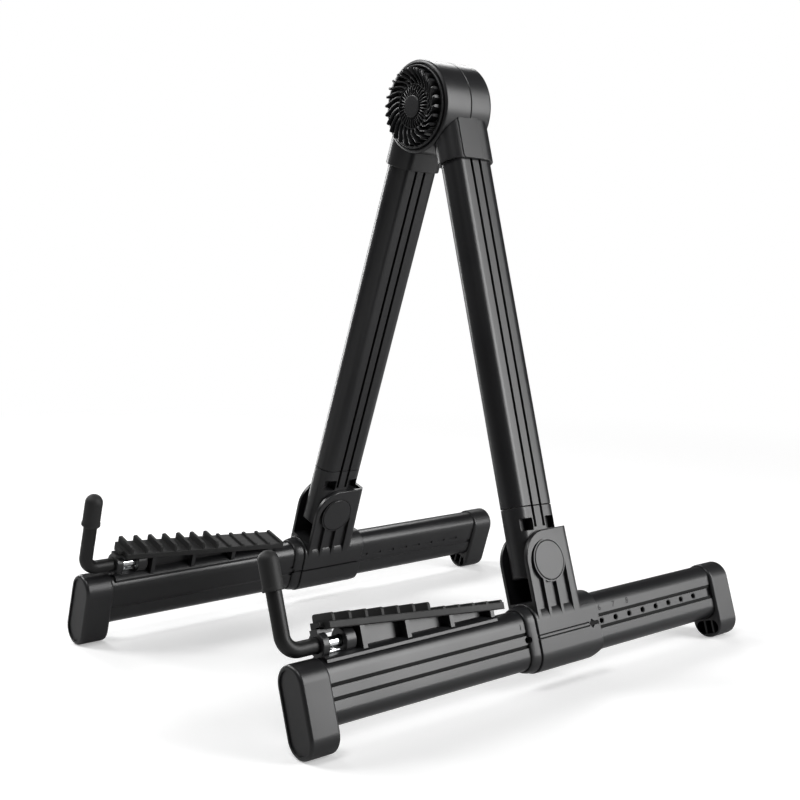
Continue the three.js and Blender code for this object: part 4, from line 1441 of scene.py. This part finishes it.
@dataclass
class Arm:
    """The bent holding arm, its bright shaft and its rubber tip."""

    half: Half
    radius: float = 3.7
    start: float = -153.7
    upright: float = -173.0
    bend: float = 7.4
    top: float = -228.0
    tip_top: float = -225.0
    tip_long: float = 18.5
    tip_radius: float = 4.8
    shaft_radius: float = 2.7
    shaft_end: float = -138.4

    def rod(self) -> bpy.types.Object:
        """Return the rod, swept along its bent line.

        Returns:
            The rod, in the half's millimetres.
        """
        z = self.half.arm_depth
        line = [((self.start, z), 0.0), ((self.upright + self.bend, z), 0.0)]
        steps = 14
        for t in (math.radians(90 * i / steps) for i in range(1, steps)):
            place = (self.upright + self.bend * (1 - math.sin(t)), z + self.bend * (1 - math.cos(t)))
            line.append((place, t))
        line += [((self.upright, z + self.bend), math.pi / 2), ((self.upright, self.top), math.pi / 2)]
        bm = bmesh.new()
        rings = []
        for (y, height), turn in line:
            out = Vector((0, math.sin(turn), math.cos(turn)))
            rings.append([bm.verts.new(Vector((SECTION.centre + a, y, height)) + out * b)
                          for a, b in disc(0, 0, self.radius, 40)])
        skin(bm, rings)
        return from_bmesh(bm, "rod")

    def tip(self) -> bpy.types.Object:
        """Return the bullet-shaped tip.

        Returns:
            The tip, in place on the rod.
        """
        low = self.tip_top - self.tip_long
        dome = self.tip_radius
        profile = [(0, self.top + FIT), (self.radius + FIT, self.top + FIT), (self.radius + FIT, low)]
        profile += arc(dome - 0.1, low + 0.5, 0.5, -90, 0, 4)[:-1]
        profile += [(dome + 0.35, low + 0.6), (dome + 0.3, low + 1.6), (dome, low + 2.2)]
        profile += arc(0, self.tip_top - dome, dome, 0, 90, 14)[:-1] + [(0, self.tip_top)]
        upright = Matrix.Rotation(math.pi / 2, 4, "X")
        return moved(turned(profile, 48), Matrix.Translation((SECTION.centre, self.upright, 0)) @ upright)

    def build(self) -> None:
        """Make and dress the arm's pieces."""
        name = self.half.name
        body = f"{name}_arm"
        shaft = prism(disc(SECTION.centre, self.half.arm_depth, self.shaft_radius, 40), Along.Y,
                      self.start + FIT, self.shaft_end, 0.3)
        dress(self.rod(), f"{name}_rod", COATED, body, [f"{name}_arm_rod"], self.half.matrix)
        dress(self.tip(), f"{name}_tip", RUBBER, body, [f"{name}_arm_tip"], self.half.matrix)
        dress(shaft, f"{name}_shaft", CHROMED, body, [f"{name}_arm_shaft"], self.half.matrix)


# ---------------------------------------------------------------- studio


@dataclass
class Studio:
    """The floor, the lights and the camera."""

    hub: Vector
    azimuth: float = 49.035
    elevation: float = 7.525
    roll: float = 0.816
    lens: float = 57.54
    shift: tuple[float, float] = (-0.0103, 0.0256)
    reach: tuple[float, float, float] = (0.539147, -0.489067, -0.078612)
    lights: tuple[tuple[str, tuple[float, float, float], float, tuple[float, float]], ...] = (
        ("side", (1.10, 0.72, 0.62), 16.5, (0.6, 0.98)),
        ("low", (0.78, 1.12, 0.22), 1.5, (0.4, 0.3)),
        ("top", (-0.80, 0.85, 1.00), 3.0, (0.4, 0.35)),
        ("high", (0.30, -0.60, 1.30), 5.0, (0.5, 0.4)),
        ("brow", (-0.75, -0.75, 1.05), 9.0, (0.5, 0.4)),
        ("left", (-1.15, -0.02, 0.35), 7.0, (0.3, 0.9)))

    def camera(self) -> None:
        """Place the camera at its angle, with the small roll and shift that level the view."""
        a, e, roll = (math.radians(v) for v in (self.azimuth, self.elevation, self.roll))
        back = Vector((math.sin(a) * math.cos(e), -math.cos(a) * math.cos(e), math.sin(e)))
        right = Vector((math.cos(a), math.sin(a), 0))
        up = back.cross(right)
        rolled_right = right * math.cos(roll) + up * math.sin(roll)
        rolled_up = up * math.cos(roll) - right * math.sin(roll)
        data = bpy.data.cameras.new("camera")
        data.lens = self.lens
        data.sensor_width = 36.0
        data.shift_x, data.shift_y = self.shift
        data.clip_start = 0.01
        camera = bpy.data.objects.new("camera", data)
        axes = Matrix((rolled_right, rolled_up, back)).transposed().to_4x4()
        camera.matrix_world = Matrix.Translation(self.hub + Vector(self.reach)) @ axes
        bpy.context.scene.collection.objects.link(camera)
        bpy.context.scene.camera = camera

    def lamps(self) -> None:
        """Hang the soft lights round the stand."""
        aim = Vector((0, 0, 0.12))
        for name, place, power, size in self.lights:
            data = bpy.data.lights.new(name, "AREA")
            data.shape = "RECTANGLE"
            data.size, data.size_y = size
            data.energy = power
            lamp = bpy.data.objects.new(name, data)
            lamp.location = place
            lamp.rotation_euler = (Vector(place) - aim).to_track_quat("Z", "Y").to_euler()
            bpy.context.scene.collection.objects.link(lamp)

    def surroundings(self) -> None:
        """Lay the pale floor and light the room evenly."""
        bm = bmesh.new()
        bmesh.ops.create_grid(bm, x_segments=1, y_segments=1, size=6.0)
        floor = from_bmesh(bm, "floor")
        floor.location.z = -0.0004
        material = bpy.data.materials.new("pale_floor")
        material.use_nodes = True
        graph = Graph(material.node_tree)
        place = graph.node("ShaderNodeTexCoord").outputs["Object"]
        seen = Value(graph, graph.node("ShaderNodeLightPath").outputs["Is Camera Ray"])
        pale = graph.mix(graph.noise(place, 3.0), (0.84, 0.84, 0.84, 1), (0.88, 0.88, 0.88, 1))
        tone = graph.mix(seen, (0.50, 0.50, 0.50, 1), pale)
        reach = graph.node("ShaderNodeVectorMath", {"operation": "LENGTH"}, {0: place}).outputs["Value"]
        fade = graph.node("ShaderNodeMapRange", {"interpolation_type": "SMOOTHSTEP"},
                          {"Value": reach, "From Min": 0.25, "From Max": 1.1}).outputs[0]
        glow = graph.mix(seen, (0, 0, 0, 1), (1, 1, 1, 1))
        shader = graph.node("ShaderNodeBsdfPrincipled", inputs={
            "Base Color": tone, "Roughness": 0.7, "Emission Color": glow, "Emission Strength": 0.3})
        white = graph.node("ShaderNodeEmission", inputs={"Color": (1, 1, 1, 1), "Strength": 1.0})
        blend = graph.node("ShaderNodeMixShader", inputs={
            0: Value(graph, fade) * seen, 1: shader.outputs[0], 2: white.outputs[0]})
        graph.node("ShaderNodeOutputMaterial", inputs={"Surface": blend.outputs[0]})
        floor.data.materials.append(material)
        world = bpy.data.worlds.new("room")
        world.use_nodes = True
        graph = Graph(world.node_tree)
        seen = graph.node("ShaderNodeLightPath").outputs["Is Camera Ray"]
        level = Value(graph, seen) * 0.95 + 0.05
        sky = graph.node("ShaderNodeBackground", inputs={"Color": (1, 1, 1, 1), "Strength": level})
        graph.node("ShaderNodeOutputWorld", inputs={"Surface": sky.outputs[0]})
        bpy.context.scene.world = world
        bpy.context.scene.view_settings.view_transform = "Standard"


# ---------------------------------------------------------------- the stand

CARRIED = {"clamp_bolt": STEEL, "clamp_nut": STEEL, "friction_washer": RUBBER,
           "left_pivot_pin": STEEL, "right_pivot_pin": STEEL, "left_arm_catch": STEEL, "right_arm_catch": STEEL}


def carry_over() -> None:
    """Give the frame's own inner pieces their finishes."""
    for name, finish in CARRIED.items():
        node = frame["nodes"][name]
        node.data.materials.clear()
        node.data.materials.append(finish.material())
        log.info("%s: carried over", name)


def main() -> None:
    """Build the studio and every piece of the stand, in order."""
    logging.basicConfig(level=logging.INFO, format="%(name)s: %(message)s")
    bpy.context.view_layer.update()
    halves = {"right": Half.read("right", 1), "left": Half.read("left", -1)}
    studio = Studio(hub=halves["right"].matrix.translation.copy())
    studio.camera()
    studio.lamps()
    studio.surroundings()
    repeater = Repeater()
    Hub(repeater, halves).build()
    for half in halves.values():
        Leg(half).build()
        Slider(half).build()
        Foot(half, repeater).build()
        Wedge(half, repeater).build()
        Arm(half).build()
    carry_over()


if __name__ == "__main__":
    main()
